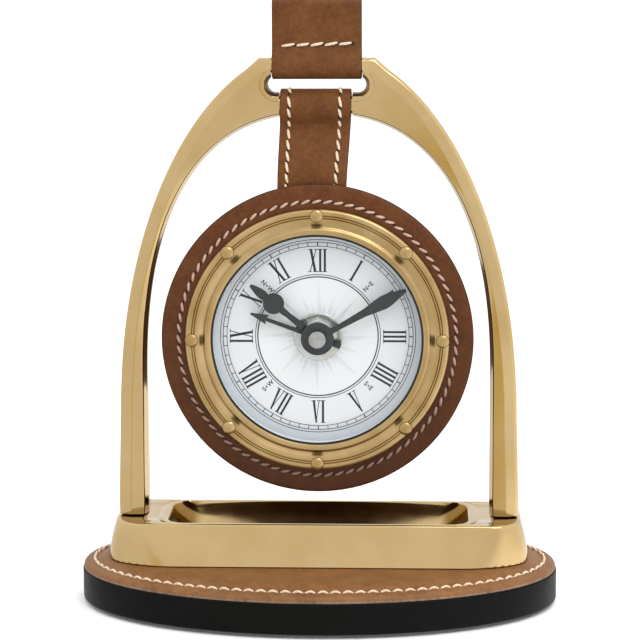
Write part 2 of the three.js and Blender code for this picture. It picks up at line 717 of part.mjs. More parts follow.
// The casting's stretch between two distances from the middle. It is cast in one, and kept as
// two branches and a crown, which are simpler solids.
function bowStretch(casting, from, to) {
  const box = block(to - from, 4 * FOOT_HALF_DEPTH, 2 * BOW_TOP, (from + to) / 2);
  return overlapOf(casting, box);
}

function makeBranch(casting, side) {
  const ends = [side * (BRANCH_END + BOW_SEAM / 2), side * 2 * BOW_OUTER_HALF];
  return bowStretch(casting, Math.min(...ends), Math.max(...ends));
}

function makeCrown(casting) {
  return bowStretch(casting, BOW_SEAM / 2 - BRANCH_END, BRANCH_END - BOW_SEAM / 2);
}

function makeFootScrew(side) {
  const headBottom = SCREW_SEAT - WASHER_THICKNESS - SCREW_HEAD_HEIGHT;
  const body = turned([
    [0, headBottom],
    [SCREW_HEAD_RADIUS - SCREW_CHAMFER, headBottom],
    [SCREW_HEAD_RADIUS, headBottom + SCREW_CHAMFER],
    [SCREW_HEAD_RADIUS, SCREW_SEAT - WASHER_THICKNESS],
    [SCREW_RADIUS, SCREW_SEAT - WASHER_THICKNESS],
    [SCREW_RADIUS, BOW_BOTTOM + SCREW_GRIP_IN_FOOT - SCREW_POINT],
    [SCREW_RADIUS - SCREW_POINT, BOW_BOTTOM + SCREW_GRIP_IN_FOOT],
    [0, BOW_BOTTOM + SCREW_GRIP_IN_FOOT],
  ], SMALL_CIRCLE);
  const slot = block(3 * SCREW_HEAD_RADIUS, SCREW_SLOT, 2 * SCREW_SLOT_DEPTH, 0, 0, headBottom);
  return cut(body, slot).translate(side * FOOT_X, 0, 0);
}

function makeFootWasher(side) {
  return tube(SCREW_HOLE, WASHER_RADIUS, SCREW_SEAT - WASHER_THICKNESS, SCREW_SEAT)
    .translate(side * FOOT_X, 0, 0);
}

// Leather

// Outline of two plies that close round a bar and run away from it to one side; the bar's
// centre is the origin and the plies run towards +Y of the shape.
function loopBore(bore, closes) {
  const side = [bore * Math.cos(BORE_TURN), bore * Math.sin(BORE_TURN)];
  const hole = new THREE.Path();
  hole.absarc(0, 0, bore, BORE_TURN, Math.PI - BORE_TURN, true);
  hole.quadraticCurveTo(0, closes * BORE_PULL, 0, closes * BORE_REACH);
  hole.quadraticCurveTo(0, closes * BORE_PULL, ...side);
  return hole;
}

function makePullLoop() {
  const bore = UPPER_BAR_RADIUS + RUNNING_GAP;
  const outer = bore + LOOP_PLY;
  const closes = LOOP_CLOSES_ABOVE_BAR;
  const height = LOOP_TOP - UPPER_BAR_Z;
  const side = [-outer * Math.cos(LOOP_TURN), outer * Math.sin(LOOP_TURN)];
  const outline = new THREE.Shape();
  outline.absarc(0, 0, outer, Math.PI - LOOP_TURN, LOOP_TURN, false);
  outline.quadraticCurveTo(LOOP_PLY, closes * LOOP_PULL, LOOP_PLY, closes);
  outline.lineTo(LOOP_PLY, height - LOOP_PLY);
  outline.absarc(0, height - LOOP_PLY, LOOP_PLY, 0, Math.PI, false);
  outline.lineTo(-LOOP_PLY, closes);
  outline.quadraticCurveTo(-LOOP_PLY, closes * LOOP_PULL, ...side);
  outline.holes.push(loopBore(bore, closes));
  return drawnAcross(outline, LOOP_WIDTH).translate(0, 0, UPPER_BAR_Z);
}

const STRAP_MIDDLE_Y = CLOCK_SETBACK - DRUM_HALF_DEPTH + LEATHER_GAP + STRAP_PLY;

function makeHangingStrap() {
  const bore = LOWER_BAR_RADIUS + RUNNING_GAP;
  const outer = bore + STRAP_PLY;
  const end = LOWER_BAR_Z - (CLOCK_HEIGHT + STRAP_END_UP);
  const closes = STRAP_CLOSES_BELOW_BAR;
  const bend = (down) => -STRAP_MIDDLE_Y * smooth((down - closes) / STRAP_BEND_LENGTH);
  const steps = 7;
  const downs = Array.from({ length: steps }, (_, k) =>
    closes + (STRAP_BEND_LENGTH * k) / (steps - 1)).concat(end);
  const side = [-outer * Math.cos(LOOP_TURN), outer * Math.sin(LOOP_TURN)];
  const outline = new THREE.Shape();
  outline.absarc(0, 0, outer, Math.PI - LOOP_TURN, LOOP_TURN, false);
  outline.quadraticCurveTo(STRAP_PLY, closes * LOOP_PULL, STRAP_PLY, closes);
  downs.slice(1).forEach((down) => outline.lineTo(bend(down) + STRAP_PLY, down));
  downs.reverse().forEach((down) => outline.lineTo(bend(down) - STRAP_PLY, down));
  outline.quadraticCurveTo(-STRAP_PLY, closes * LOOP_PULL, ...side);
  outline.holes.push(loopBore(bore, closes));
  const upright = drawnAcross(outline, STRAP_WIDTH_TOP).rotateX(Math.PI);
  const position = upright.attributes.position;
  for (let k = 0; k < position.count; k += 1) {
    const share = smooth(-position.getZ(k) / end);
    const width = STRAP_WIDTH_TOP + share * (STRAP_WIDTH_END - STRAP_WIDTH_TOP);
    position.setX(k, (position.getX(k) * width) / STRAP_WIDTH_TOP);
  }
  upright.translate(0, 0, LOWER_BAR_Z);
  const drilled = [-1, 1].flatMap((side) => strapScrewHoles(side));
  return cut(upright, ...drilled.map(hung), hung(pinHole(0)));
}

const STRAP_FRONT = DRUM_HALF_DEPTH - LEATHER_GAP;

function strapScrewHoles(side) {
  const x = side * STRAP_SCREW_SPREAD;
  const seat = STRAP_FRONT - STRAP_SCREW_HEAD_HEIGHT;
  return [
    disc(STRAP_SCREW_HEAD + FIT_GAP, seat, STRAP_FRONT + 2).translate(x, STRAP_SCREW_UP, 0),
    disc(STRAP_SCREW_RADIUS + FIT_GAP, STRAP_FRONT - STRAP_SCREW_LENGTH - 1, STRAP_FRONT + 2)
      .translate(x, STRAP_SCREW_UP, 0),
  ];
}

function makeStrapScrew(side) {
  const seat = STRAP_FRONT - STRAP_SCREW_HEAD_HEIGHT;
  return turned([
    [0, STRAP_FRONT - STRAP_SCREW_LENGTH],
    [STRAP_SCREW_RADIUS * 0.4, STRAP_FRONT - STRAP_SCREW_LENGTH],
    [STRAP_SCREW_RADIUS, STRAP_FRONT - STRAP_SCREW_LENGTH + STRAP_SCREW_POINT],
    [STRAP_SCREW_RADIUS, seat],
    [STRAP_SCREW_HEAD, seat],
    [STRAP_SCREW_HEAD, STRAP_FRONT - STRAP_SCREW_SUNK],
    [0, STRAP_FRONT - STRAP_SCREW_SUNK],
  ], SMALL_CIRCLE).translate(side * STRAP_SCREW_SPREAD, STRAP_SCREW_UP, 0);
}

// Clock: every piece is made facing +Z about the hand axis, then hung in the bow

function hung(geometry) {
  return facing(geometry).translate(0, CLOCK_SETBACK, CLOCK_HEIGHT);
}

function pinPlace(index) {
  const angle = (2 * Math.PI * index) / PIN_COUNT;
  return [PIN_CIRCLE * Math.sin(angle), PIN_CIRCLE * Math.cos(angle)];
}

function pinHole(index) {
  const bottom = DRUM_HALF_DEPTH - PIN_SHANK_IN_DRUM - 1;
  return disc(PIN_HOLE, bottom, BEZEL_FRONT + 1, 10).translate(...pinPlace(index), 0);
}

const PIN_INDEXES = Array.from({ length: PIN_COUNT }, (_, k) => k);

function makeDrum() {
  const body = turned([
    [DRUM_BORE, -DRUM_HALF_DEPTH],
    [DRUM_RADIUS - DRUM_EDGE, -DRUM_HALF_DEPTH],
    [DRUM_RADIUS - DRUM_EDGE * 0.3, DRUM_EDGE * 0.3 - DRUM_HALF_DEPTH],
    [DRUM_RADIUS, DRUM_EDGE - DRUM_HALF_DEPTH],
    [DRUM_RADIUS, DRUM_HALF_DEPTH],
    [DRUM_BORE, DRUM_HALF_DEPTH],
  ]);
  const notchDepth = 2 * STRAP_PLY + 2 * LEATHER_GAP;
  const notchFloor = STRAP_END_UP - LEATHER_GAP;
  const notch = block(
    STRAP_WIDTH_TOP + 2 * LEATHER_GAP,
    DRUM_RADIUS,
    notchDepth + 1,
    0,
    notchFloor + DRUM_RADIUS / 2,
    DRUM_HALF_DEPTH + 0.5 - notchDepth / 2,
  );
  const screws = [-1, 1].map((side) => strapScrewHoles(side)[1]);
  return cut(body, notch, ...screws, ...PIN_INDEXES.map(pinHole));
}

function makeFaceLeather() {
  const body = turned([
    [DRUM_BORE, LEATHER_BACK],
    [FACE_LEATHER_RADIUS, LEATHER_BACK],
    [FACE_LEATHER_RADIUS, LEATHER_FRONT - FACE_LEATHER_EDGE],
    [FACE_LEATHER_RADIUS - FACE_LEATHER_EDGE, LEATHER_FRONT],
    [DRUM_BORE, LEATHER_FRONT],
  ]);
  return cut(body, ...PIN_INDEXES.map(pinHole));
}

function makeBezel() {
  const grooves = GROOVE_INSETS.flatMap((inset) => [
    [BEZEL_RADIUS - inset + GROOVE_HALF, BEZEL_FRONT],
    [BEZEL_RADIUS - inset, BEZEL_FRONT - GROOVE_SINK],
    [BEZEL_RADIUS - inset - GROOVE_HALF, BEZEL_FRONT],
  ]);
  const skirtEnd = DIAL_BACK - TAB_THICKNESS;
  const body = turned([
    [SKIRT_BORE, skirtEnd],
    [SKIRT_RADIUS, skirtEnd],
    [SKIRT_RADIUS, LEATHER_FRONT],
    [BEZEL_RADIUS, LEATHER_FRONT],
    [BEZEL_RADIUS, BEZEL_FRONT - BEZEL_EDGE],
    [BEZEL_RADIUS - BEZEL_EDGE, BEZEL_FRONT],
    ...grooves,
    [COVE_RADIUS + COVE_WIDTH, BEZEL_FRONT - COVE_SHOULDER],
    [COVE_RADIUS, BEZEL_FRONT - COVE_DEPTH],
    [COVE_RADIUS - BEAD_STEP, BEZEL_FRONT - COVE_DEPTH + BEAD_RISE],
    [COVE_RADIUS - BEAD_CREST_INSET, BEZEL_FRONT + BEAD_CREST],
    [BEZEL_LIP + LIP_SLOPE_WIDTH, BEZEL_FRONT - LIP_SLOPE_DROP],
    [BEZEL_LIP, GLASS_RIM_FRONT],
    [SKIRT_BORE, GLASS_RIM_FRONT],
  ]);
  const tabs = Array.from({ length: TAB_COUNT }, (_, k) => block(
    TAB_REACH,
    TAB_WIDTH,
    TAB_THICKNESS,
    SKIRT_BORE + TAB_ROOT - TAB_REACH / 2,
    0,
    DIAL_BACK - TAB_THICKNESS / 2,
  ).rotateZ((2 * Math.PI * k) / TAB_COUNT));
  return cut(join(body, ...tabs), ...PIN_INDEXES.map(pinHole));
}

function makePin(index) {
  const bottom = DRUM_HALF_DEPTH - PIN_SHANK_IN_DRUM;
  const dome = [0, 0.35, 0.7, 1].map((share) => {
    const angle = (share * Math.PI) / 2;
    return [
      share < 1 ? PIN_HEAD_RADIUS * Math.cos(angle) : 0,
      BEZEL_FRONT + PIN_HEAD_RIM + (PIN_HEAD_HEIGHT - PIN_HEAD_RIM) * Math.sin(angle),
    ];
  });
  return turned([
    [0, bottom],
    [PIN_SHANK_RADIUS, bottom + 1],
    [PIN_SHANK_RADIUS, BEZEL_FRONT],
    [PIN_HEAD_RADIUS, BEZEL_FRONT],
    ...dome,
  ], 10).translate(...pinPlace(index), 0);
}

function makeGlass() {
  const domeRadius = BEZEL_LIP - GLASS_IN_LIP;
  const dome = [1, 0.55, 0];
  const height = (share) => GLASS_DOME * (1 - share * share);
  return turned([
    ...dome.slice().reverse().map((share) => [domeRadius * share, GLASS_RIM_BACK + height(share)]),
    [GLASS_RADIUS, GLASS_RIM_BACK],
    [GLASS_RADIUS, GLASS_RIM_FRONT],
    ...dome.map((share) => [domeRadius * share, GLASS_RIM_FRONT + height(share)]),
  ]);
}

function makeSpacer() {
  return tube(GLASS_RADIUS - SPACER_WALL, GLASS_RADIUS, DIAL_FRONT, GLASS_RIM_BACK, CIRCLE);
}

function makeDial() {
  return tube(BUSHING_RADIUS + FIT_GAP, GLASS_RADIUS, DIAL_BACK, DIAL_FRONT, CIRCLE);
}

function makeBushing() {
  const bore = ALARM_PIPE_RADIUS + RUNNING_GAP;
  return turned([
    [bore, MOVEMENT_FRONT - BUSHING_DEPTH],
    [BUSHING_RADIUS, MOVEMENT_FRONT - BUSHING_DEPTH],
    [BUSHING_RADIUS, MOVEMENT_FRONT],
    [BUSHING_COLLAR_RADIUS, MOVEMENT_FRONT],
    [BUSHING_COLLAR_RADIUS, DIAL_BACK],
    [BUSHING_RADIUS, DIAL_BACK],
    [BUSHING_RADIUS, NUT_TOP],
    [bore, NUT_TOP],
  ], SMALL_CIRCLE);
}

function makeDialWasher() {
  const top = DIAL_FRONT + DIAL_WASHER_THICKNESS;
  return tube(BUSHING_RADIUS + FIT_GAP, DIAL_WASHER_RADIUS, DIAL_FRONT, top, 20);
}

function makeDialNut() {
  const bottom = DIAL_FRONT + DIAL_WASHER_THICKNESS;
  return cut(
    disc(NUT_RADIUS, bottom, NUT_TOP, 6),
    disc(BUSHING_RADIUS + FIT_GAP, bottom - 1, NUT_TOP + 1),
  );
}

// A pipe of the hand works, with the seat that its hand rests on.
function makePipe(bore, radius, seat, reach) {
  const nose = seat + HAND_THICKNESS + PIPE_NOSE;
  return turned([
    [bore, MOVEMENT_FRONT - reach],
    [radius, MOVEMENT_FRONT - reach],
    [radius, seat - SEAT_HEIGHT],
    [radius + SEAT_FLANGE, seat - SEAT_HEIGHT],
    [radius + SEAT_FLANGE, seat],
    [radius, seat],
    [radius, nose],
    [bore, nose],
  ], SMALL_CIRCLE);
}

function makeAlarmPipe() {
  return makePipe(ALARM_PIPE_BORE, ALARM_PIPE_RADIUS, ALARM_SEAT, ALARM_PIPE_REACH);
}

function makeHourPipe() {
  return makePipe(HOUR_PIPE_BORE, HOUR_PIPE_RADIUS, HOUR_SEAT, HOUR_PIPE_REACH);
}

function makeMinuteShaft() {
  const top = MINUTE_SEAT + HAND_THICKNESS + CAP_HEIGHT - CAP_ROOF - RUNNING_GAP;
  return turned([
    [0, MOVEMENT_FRONT - WORKS_DEPTH],
    [SHAFT_RADIUS, MOVEMENT_FRONT - WORKS_DEPTH],
    [SHAFT_RADIUS, MINUTE_SEAT - SEAT_HEIGHT],
    [SHAFT_RADIUS + SEAT_FLANGE, MINUTE_SEAT - SEAT_HEIGHT],
    [SHAFT_RADIUS + SEAT_FLANGE, MINUTE_SEAT],
    [SHAFT_RADIUS, MINUTE_SEAT],
    [SHAFT_RADIUS, top],
    [0, top],
  ], SMALL_CIRCLE);
}

function makeCapNut() {
  const bottom = MINUTE_SEAT + HAND_THICKNESS;
  const top = bottom + CAP_HEIGHT;
  const bore = SHAFT_RADIUS + FIT_GAP;
  return turned([
    [0, top - CAP_ROOF],
    [bore, top - CAP_ROOF],
    [bore, bottom],
    [CAP_RADIUS, bottom],
    [CAP_RADIUS, top - CAP_EDGE],
    [CAP_RADIUS - CAP_EDGE, top],
    [0, top],
  ], 18);
}

// Hands point to twelve as drawn and are then turned clockwise to their angle.
function makeHand(hubRadius, hole, outlines, seat, degrees) {
  const top = seat + HAND_THICKNESS;
  const blades = outlines.map((outline) => plate(outline, seat, top));
  const whole = cut(
    join(disc(hubRadius, seat, top, 20), ...blades),
    disc(hole, seat - 1, top + 1),
  );
  return whole.rotateZ(-degrees * THREE.MathUtils.DEG2RAD);
}

function taperOutline(points) {
  const right = points.map(([half, up]) => new THREE.Vector2(half, up));
  const left = points.slice().reverse().map(([half, up]) => new THREE.Vector2(-half, up));
  return new THREE.Shape([...right, ...left]);
}

function makeAlarmHand() {
  const hole = ALARM_PIPE_RADIUS + FIT_GAP;
  const neck = ALARM_LENGTH - ALARM_HEAD_LENGTH;
  const stem = taperOutline([
    [ALARM_STEM_HALF, hole + HUB_COVER],
    [ALARM_STEM_HALF, neck],
    [ALARM_HEAD_HALF, neck],
    [ALARM_POINT_HALF, ALARM_LENGTH],
  ]);
  const tail = taperOutline([
    [ALARM_TAIL_HALF, -ALARM_TAIL_LENGTH],
    [ALARM_TAIL_HALF, -hole - HUB_COVER],
  ]);
  return makeHand(ALARM_HUB_RADIUS, hole, [stem, tail], ALARM_SEAT, ALARM_ANGLE);
}

function makeHourHand() {
  const hole = HOUR_PIPE_RADIUS + FIT_GAP;
  const stem = taperOutline([
    [HOUR_STEM_HALF, hole + HUB_COVER],
    [HOUR_TIP_HALF, HOUR_LENGTH],
  ]);
  const blob = new THREE.Shape();
  blob.absarc(0, HOUR_BLOB_REACH, HOUR_BLOB_RADIUS, 0, 2 * Math.PI);
  return makeHand(HOUR_HUB_RADIUS, hole, [stem, blob], HOUR_SEAT, HOUR_ANGLE);
}

function makeMinuteHand() {
  const hole = SHAFT_RADIUS + FIT_GAP;
  const blade = taperOutline([
    [MINUTE_ROOT_HALF, hole + HUB_COVER],
    [MINUTE_WIDEST_HALF, MINUTE_LENGTH * MINUTE_WIDEST_SHARE],
    [MINUTE_TIP_HALF, MINUTE_LENGTH],
  ]);
  return makeHand(MINUTE_HUB_RADIUS, hole, [blade], MINUTE_SEAT, MINUTE_ANGLE);
}

// Movement

const COVER_FRONT = MOVEMENT_BACK + COVER_THICKNESS;
const WELL_LENGTH = BATTERY_BODY + BATTERY_NUB + 2 * CONTACT_THICKNESS + 4 * FIT_GAP;
const WELL_WIDTH = 2 * (BATTERY_RADIUS + FIT_GAP);
const WELL_BOTTOM = MOVEMENT_FRONT - WELL_FLOOR;
const BATTERY_AXIS = WELL_BOTTOM - FIT_GAP - BATTERY_RADIUS;

function movementSlab(from, to) {
  return stacked([
    roundedRing(MOVEMENT_SIDE, MOVEMENT_SIDE, MOVEMENT_CORNER, from, 5),
    roundedRing(MOVEMENT_SIDE, MOVEMENT_SIDE, MOVEMENT_CORNER, to, 5),
  ]);
}

function wellTool() {
  const depth = WELL_BOTTOM - MOVEMENT_BACK + 1;
  return block(WELL_LENGTH, WELL_WIDTH, depth, 0, -BATTERY_DROP, WELL_BOTTOM - depth / 2);
}

function knobStemTool(side) {
  const bottom = MOVEMENT_BACK + KNOB_STEM_LENGTH + KNOB_HOLE_SPARE;
  return disc(KNOB_STEM_RADIUS + RUNNING_GAP, MOVEMENT_BACK - 1, bottom)
    .translate(side * KNOB_SPREAD, KNOB_RISE, 0);
}

function switchTool() {
  const length = SWITCH_SIDE + SWITCH_TRAVEL + 2 * RUNNING_GAP;
  const width = SWITCH_SIDE + 2 * RUNNING_GAP;
  const depth = SWITCH_SINK + 1;
  return block(length, width, depth, 0, SWITCH_RISE, MOVEMENT_BACK + SWITCH_SINK - depth / 2);
}

function makeMovementCase() {
  return cut(
    movementSlab(COVER_FRONT, MOVEMENT_FRONT),
    disc(WORKS_BORE, MOVEMENT_FRONT - WORKS_DEPTH - 1, MOVEMENT_FRONT + 1),
    wellTool(),
    knobStemTool(-1),
    knobStemTool(1),
    switchTool(),
  );
}

function makeMovementCover() {
  return cut(
    movementSlab(MOVEMENT_BACK, COVER_FRONT),
    wellTool(),
    knobStemTool(-1),
    knobStemTool(1),
    switchTool(),
  );
}

function makeBattery() {
  const start = -WELL_LENGTH / 2 + CONTACT_THICKNESS + 2 * FIT_GAP;
  return turned([
    [0, start],
    [BATTERY_RADIUS - BATTERY_EDGE, start],
    [BATTERY_RADIUS, start + BATTERY_EDGE],
    [BATTERY_RADIUS, start + BATTERY_BODY - BATTERY_EDGE],
    [BATTERY_RADIUS - BATTERY_EDGE, start + BATTERY_BODY],
    [BATTERY_NUB_RADIUS, start + BATTERY_BODY],
    [BATTERY_NUB_RADIUS, start + BATTERY_BODY + BATTERY_NUB],
    [0, start + BATTERY_BODY + BATTERY_NUB],
  ], 16).rotateY(Math.PI / 2).translate(0, -BATTERY_DROP, BATTERY_AXIS);
}

function makeContact(side) {
  const x = side * (WELL_LENGTH / 2 - CONTACT_THICKNESS / 2 - CONTACT_GAP);
  return block(CONTACT_THICKNESS, CONTACT_SIDE, CONTACT_SIDE, x, -BATTERY_DROP, BATTERY_AXIS);
}

function makeKnob(side) {
  const outline = new THREE.Shape();
  const steps = KNOB_RIBS * 4;
  for (let k = 0; k < steps; k += 1) {
    const angle = (2 * Math.PI * k) / steps;
    const radius = KNOB_RADIUS - (k % 4 < 2 ? 0 : KNOB_RIB_DEPTH);
    const point = [radius * Math.cos(angle), radius * Math.sin(angle)];
    if (k === 0) {
      outline.moveTo(...point);
    } else {
      outline.lineTo(...point);
    }
  }
  const top = MOVEMENT_BACK - RUNNING_GAP;
  return join(
    plate(outline, top - KNOB_HEIGHT, top),
    disc(KNOB_STEM_RADIUS, top - 1, MOVEMENT_BACK + KNOB_STEM_LENGTH),
  ).translate(side * KNOB_SPREAD, KNOB_RISE, 0);
}

function makeSwitch() {
  const bottom = MOVEMENT_BACK + SWITCH_SINK - RUNNING_GAP;
  return block(
    SWITCH_SIDE,
    SWITCH_SIDE,
    SWITCH_HEIGHT + SWITCH_SINK,
    -SWITCH_TRAVEL / 2,
    SWITCH_RISE,
    bottom - (SWITCH_HEIGHT + SWITCH_SINK) / 2,
  );
}

// Assembly

const desk_clock = new THREE.Group();
const bow = makeBow();

const stand = new THREE.Group();
stand.add(
  piece('felt_pad', makeFelt(), FELT),
  piece('plinth', makePlinth(), BLACK_LACQUER),
  piece('plinth_leather', makeTopLeather(), TAN_LEATHER),
  piece('tread', makeTread(), BRASS),
  piece('bow_left', makeBranch(bow, -1), BRASS),
  piece('bow_right', makeBranch(bow, 1), BRASS),
  piece('bow_crown', makeCrown(bow), BRASS),
  piece('foot_screw_left', makeFootScrew(-1), STEEL),
  piece('foot_screw_right', makeFootScrew(1), STEEL),
  piece('foot_washer_left', makeFootWasher(-1), STEEL),
  piece('foot_washer_right', makeFootWasher(1), STEEL),
);

const leather = new THREE.Group();
leather.add(
  piece('pull_loop', makePullLoop(), STRAP_LEATHER),
  piece('hanging_strap', makeHangingStrap(), STRAP_LEATHER),
);

const clock = new THREE.Group();
clock.add(
  piece('strap_screw_left', hung(makeStrapScrew(-1)), STEEL),
  piece('strap_screw_right', hung(makeStrapScrew(1)), STEEL),
  piece('case_drum', hung(makeDrum()), BLACK_LACQUER),
  piece('face_leather', hung(makeFaceLeather()), BROWN_LEATHER),
  piece('bezel', hung(makeBezel()), BRASS),
  piece('glass', hung(makeGlass()), GLASS),
  piece('dial_spacer', hung(makeSpacer()), WHITE_PLASTIC),
  piece('dial', hung(makeDial()), DIAL_PAINT),
  piece('centre_bushing', hung(makeBushing()), BRASS),
  piece('dial_washer', hung(makeDialWasher()), STEEL),
  piece('dial_nut', hung(makeDialNut()), STEEL),
  piece('movement_case', hung(makeMovementCase()), BLACK_PLASTIC),
  piece('movement_cover', hung(makeMovementCover()), BLACK_PLASTIC),
  piece('battery', hung(makeBattery()), BATTERY_JACKET),
  piece('battery_contact_minus', hung(makeContact(-1)), STEEL),
  piece('battery_contact_plus', hung(makeContact(1)), STEEL),
);
PIN_INDEXES.forEach((index) => {
  clock.add(piece(`bezel_pin_${index + 1}`, hung(makePin(index)), BRASS));
});

const works = new THREE.Group();
works.add(
  piece('alarm_pipe', hung(makeAlarmPipe()), BRASS),
  piece('alarm_hand', hung(makeAlarmHand()), HAND_BLACK),
  piece('hour_pipe', hung(makeHourPipe()), BRASS),
  piece('hour_hand', hung(makeHourHand()), HAND_BLACK),
  piece('minute_shaft', hung(makeMinuteShaft()), BRASS),
  piece('minute_hand', hung(makeMinuteHand()), HAND_BLACK),
  piece('cap_nut', hung(makeCapNut()), STEEL),
  piece('time_knob', hung(makeKnob(-1)), BLACK_PLASTIC),
  piece('alarm_knob', hung(makeKnob(1)), BLACK_PLASTIC),
  piece('alarm_switch', hung(makeSwitch()), BLACK_PLASTIC),
);

desk_clock.add(stand, leather, clock, works);

export default desk_clock;
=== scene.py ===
"""Visual model of a desk clock that hangs in a cast brass stirrup.

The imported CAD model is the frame. Each visible piece is modelled here in finer detail, rides on
its CAD body and stands for its CAD node. Lengths are given in millimetres and turned to metres
once, in mm().
"""
import logging
import math
import random
from dataclasses import dataclass
from enum import Enum
from typing import Callable, Sequence

import bpy
from mathutils import Matrix, Vector


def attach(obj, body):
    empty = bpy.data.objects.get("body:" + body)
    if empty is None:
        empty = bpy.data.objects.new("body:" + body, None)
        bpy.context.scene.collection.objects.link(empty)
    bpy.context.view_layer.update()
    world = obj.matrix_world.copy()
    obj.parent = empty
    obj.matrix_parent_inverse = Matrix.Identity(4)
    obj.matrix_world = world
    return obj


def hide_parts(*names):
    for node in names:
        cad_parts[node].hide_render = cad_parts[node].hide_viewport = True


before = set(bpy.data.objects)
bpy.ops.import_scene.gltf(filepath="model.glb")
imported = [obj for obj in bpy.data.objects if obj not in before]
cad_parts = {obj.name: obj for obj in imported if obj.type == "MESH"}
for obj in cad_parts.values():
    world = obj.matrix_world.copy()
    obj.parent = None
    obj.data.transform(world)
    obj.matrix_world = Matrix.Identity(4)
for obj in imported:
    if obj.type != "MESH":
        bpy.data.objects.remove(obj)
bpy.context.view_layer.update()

LOG = logging.getLogger("desk_clock")
Object = bpy.types.Object
Material = bpy.types.Material
Face = bpy.types.MeshPolygon
Tree = bpy.types.NodeTree
Socket = bpy.types.NodeSocket
Inputs = dict
Point = tuple[float, float]
Spot = tuple[float, float, float]

MM = 0.001
UP = Vector((0.0, 0.0, 1.0))
ACROSS = Vector((1.0, 0.0, 0.0))
FORWARD = Vector((0.0, -1.0, 0.0))

# The hands turn about this line, which runs from front to back; millimetres.
HAND_AXIS = (0.0, 0.0, 95.5)
# The screws from below through plinth, footplate and bow, in millimetres.
SCREW_OUT = 65.1
SCREW_HOLE = 2.8
# A quarter turn in six steps, for rounded edges.
QUARTER = [math.radians(15 * k) for k in range(7)]


class Body(str, Enum):
    """The CAD bodies that pieces ride on."""

    STAND = "stand"
    LOOP = "pull_loop"
    CLOCK = "clock"
    ALARM = "alarm_arbor"
    HOUR = "hour_arbor"
    MINUTE = "minute_arbor"
    TIME_KNOB = "time_setting"
    ALARM_KNOB = "alarm_setting"
    SLIDER = "alarm_slider"


def mm(*values: float) -> Vector:
    """Millimetres as a vector in metres."""
    return Vector(values) * MM


def linear(colour: str) -> tuple[float, float, float, float]:
    """Turns an sRGB hex colour into Blender's linear colour.

    Args:
        colour: Six hex digits after a hash sign.

    Returns:
        Linear red, green, blue and full alpha.
    """
    parts = [int(colour[k:k + 2], 16) / 255 for k in (1, 3, 5)]
    parts = [c / 12.92 if c <= 0.04045 else ((c + 0.055) / 1.055) ** 2.4 for c in parts]
    return (*parts, 1.0)


def smooth(share: float) -> float:
    """Eases a share from 0 to 1, level at both ends."""
    t = min(1.0, max(0.0, share))
    return t * t * (3 - 2 * t)


# Nodes and finishes

NOISE_ROUGHNESS = 0.55
# Most of a noise's values lie between these two.
NOISE_SPAN = {"From Min": 0.3, "From Max": 0.7}


def add_node(tree: Tree, kind: str, inputs: Inputs | None = None,
             stops: Sequence[tuple[float, str]] = (), **settings: object) -> bpy.types.Node:
    """Adds a node with its settings, values, links and colour stops.

    Args:
        tree: The node tree that gets the node.
        kind: The node's type without its ShaderNode prefix.
        inputs: Socket name or number to a value, or to a socket that it is linked from.
        stops: A colour ramp's stops, each a place and a hex colour.
        settings: Properties of the node itself.

    Returns:
        The new node.
    """
    node = tree.nodes.new("ShaderNode" + kind)
    for key, value in settings.items():
        setattr(node, key, value)
    for key, value in (inputs or {}).items():
        if isinstance(value, Socket):
            tree.links.new(value, node.inputs[key])
        else:
            node.inputs[key].default_value = value
    if stops:
        elements = node.color_ramp.elements
        while len(elements) < len(stops):
            elements.new(0.5)
        for element, (place, colour) in zip(elements, stops):
            element.position = place
            element.color = linear(colour)
    return node


def per_mm(size: float) -> float:
    """Scale of a pattern whose features are that many millimetres apart."""
    return 1.0 / (size * MM)


def towards_low(tree: Tree, coords: Socket, low_shade: Spot) -> Socket:
    """Grows with depth below a height, for the shade painted low on leather and thread.

    Args:
        tree: The material's node tree.
        coords: Object coordinates.
        low_shade: The height of the full effect, the height where it starts, and how strong it
            gets.

    Returns:
        A factor, 0 at the start.
    """
    low, start, strength = low_shade
    return add_node(tree, "MapRange", {
        "Value": add_node(tree, "SeparateXYZ", {0: coords}).outputs["Z"],
        "From Min": start * MM,
        "From Max": low * MM,
        "To Max": strength,
    }).outputs[0]


def from_hand_axis(tree: Tree, coords: Socket) -> tuple[Socket, Socket]:
    """Measures a surface from the hand axis.

    Args:
        tree: The material's node tree.
        coords: Object coordinates.

    Returns:
        Coordinates with the axis at their origin, and the distance from it.
    """
    centred = add_node(tree, "Mapping", {
        "Vector": coords, "Location": -mm(*HAND_AXIS), "Scale": (1.0, 0.0, 1.0),
    }).outputs[0]
    return centred, add_node(tree, "VectorMath", {0: centred}, operation="LENGTH").outputs["Value"]


@dataclass(frozen=True)
class Finish:
    """A surface finish. Subclasses make their pattern in surface()."""

    label: str

    def material(self) -> Material:
        """Makes the finish's material once.

        Returns:
            The material.
        """
        known = bpy.data.materials.get(self.label)
        if known:
            return known
        made = bpy.data.materials.new(self.label)
        made.use_nodes = True
        tree = made.node_tree
        tree.nodes.clear()
        coords = add_node(tree, "TexCoord").outputs["Object"]
        shader = add_node(tree, "BsdfPrincipled", self.surface(tree, coords))
        add_node(tree, "OutputMaterial", {"Surface": shader.outputs["BSDF"]})
        return made

    def surface(self, tree: Tree, coords: Socket) -> Inputs:
        """Makes the finish's pattern."""
        raise NotImplementedError


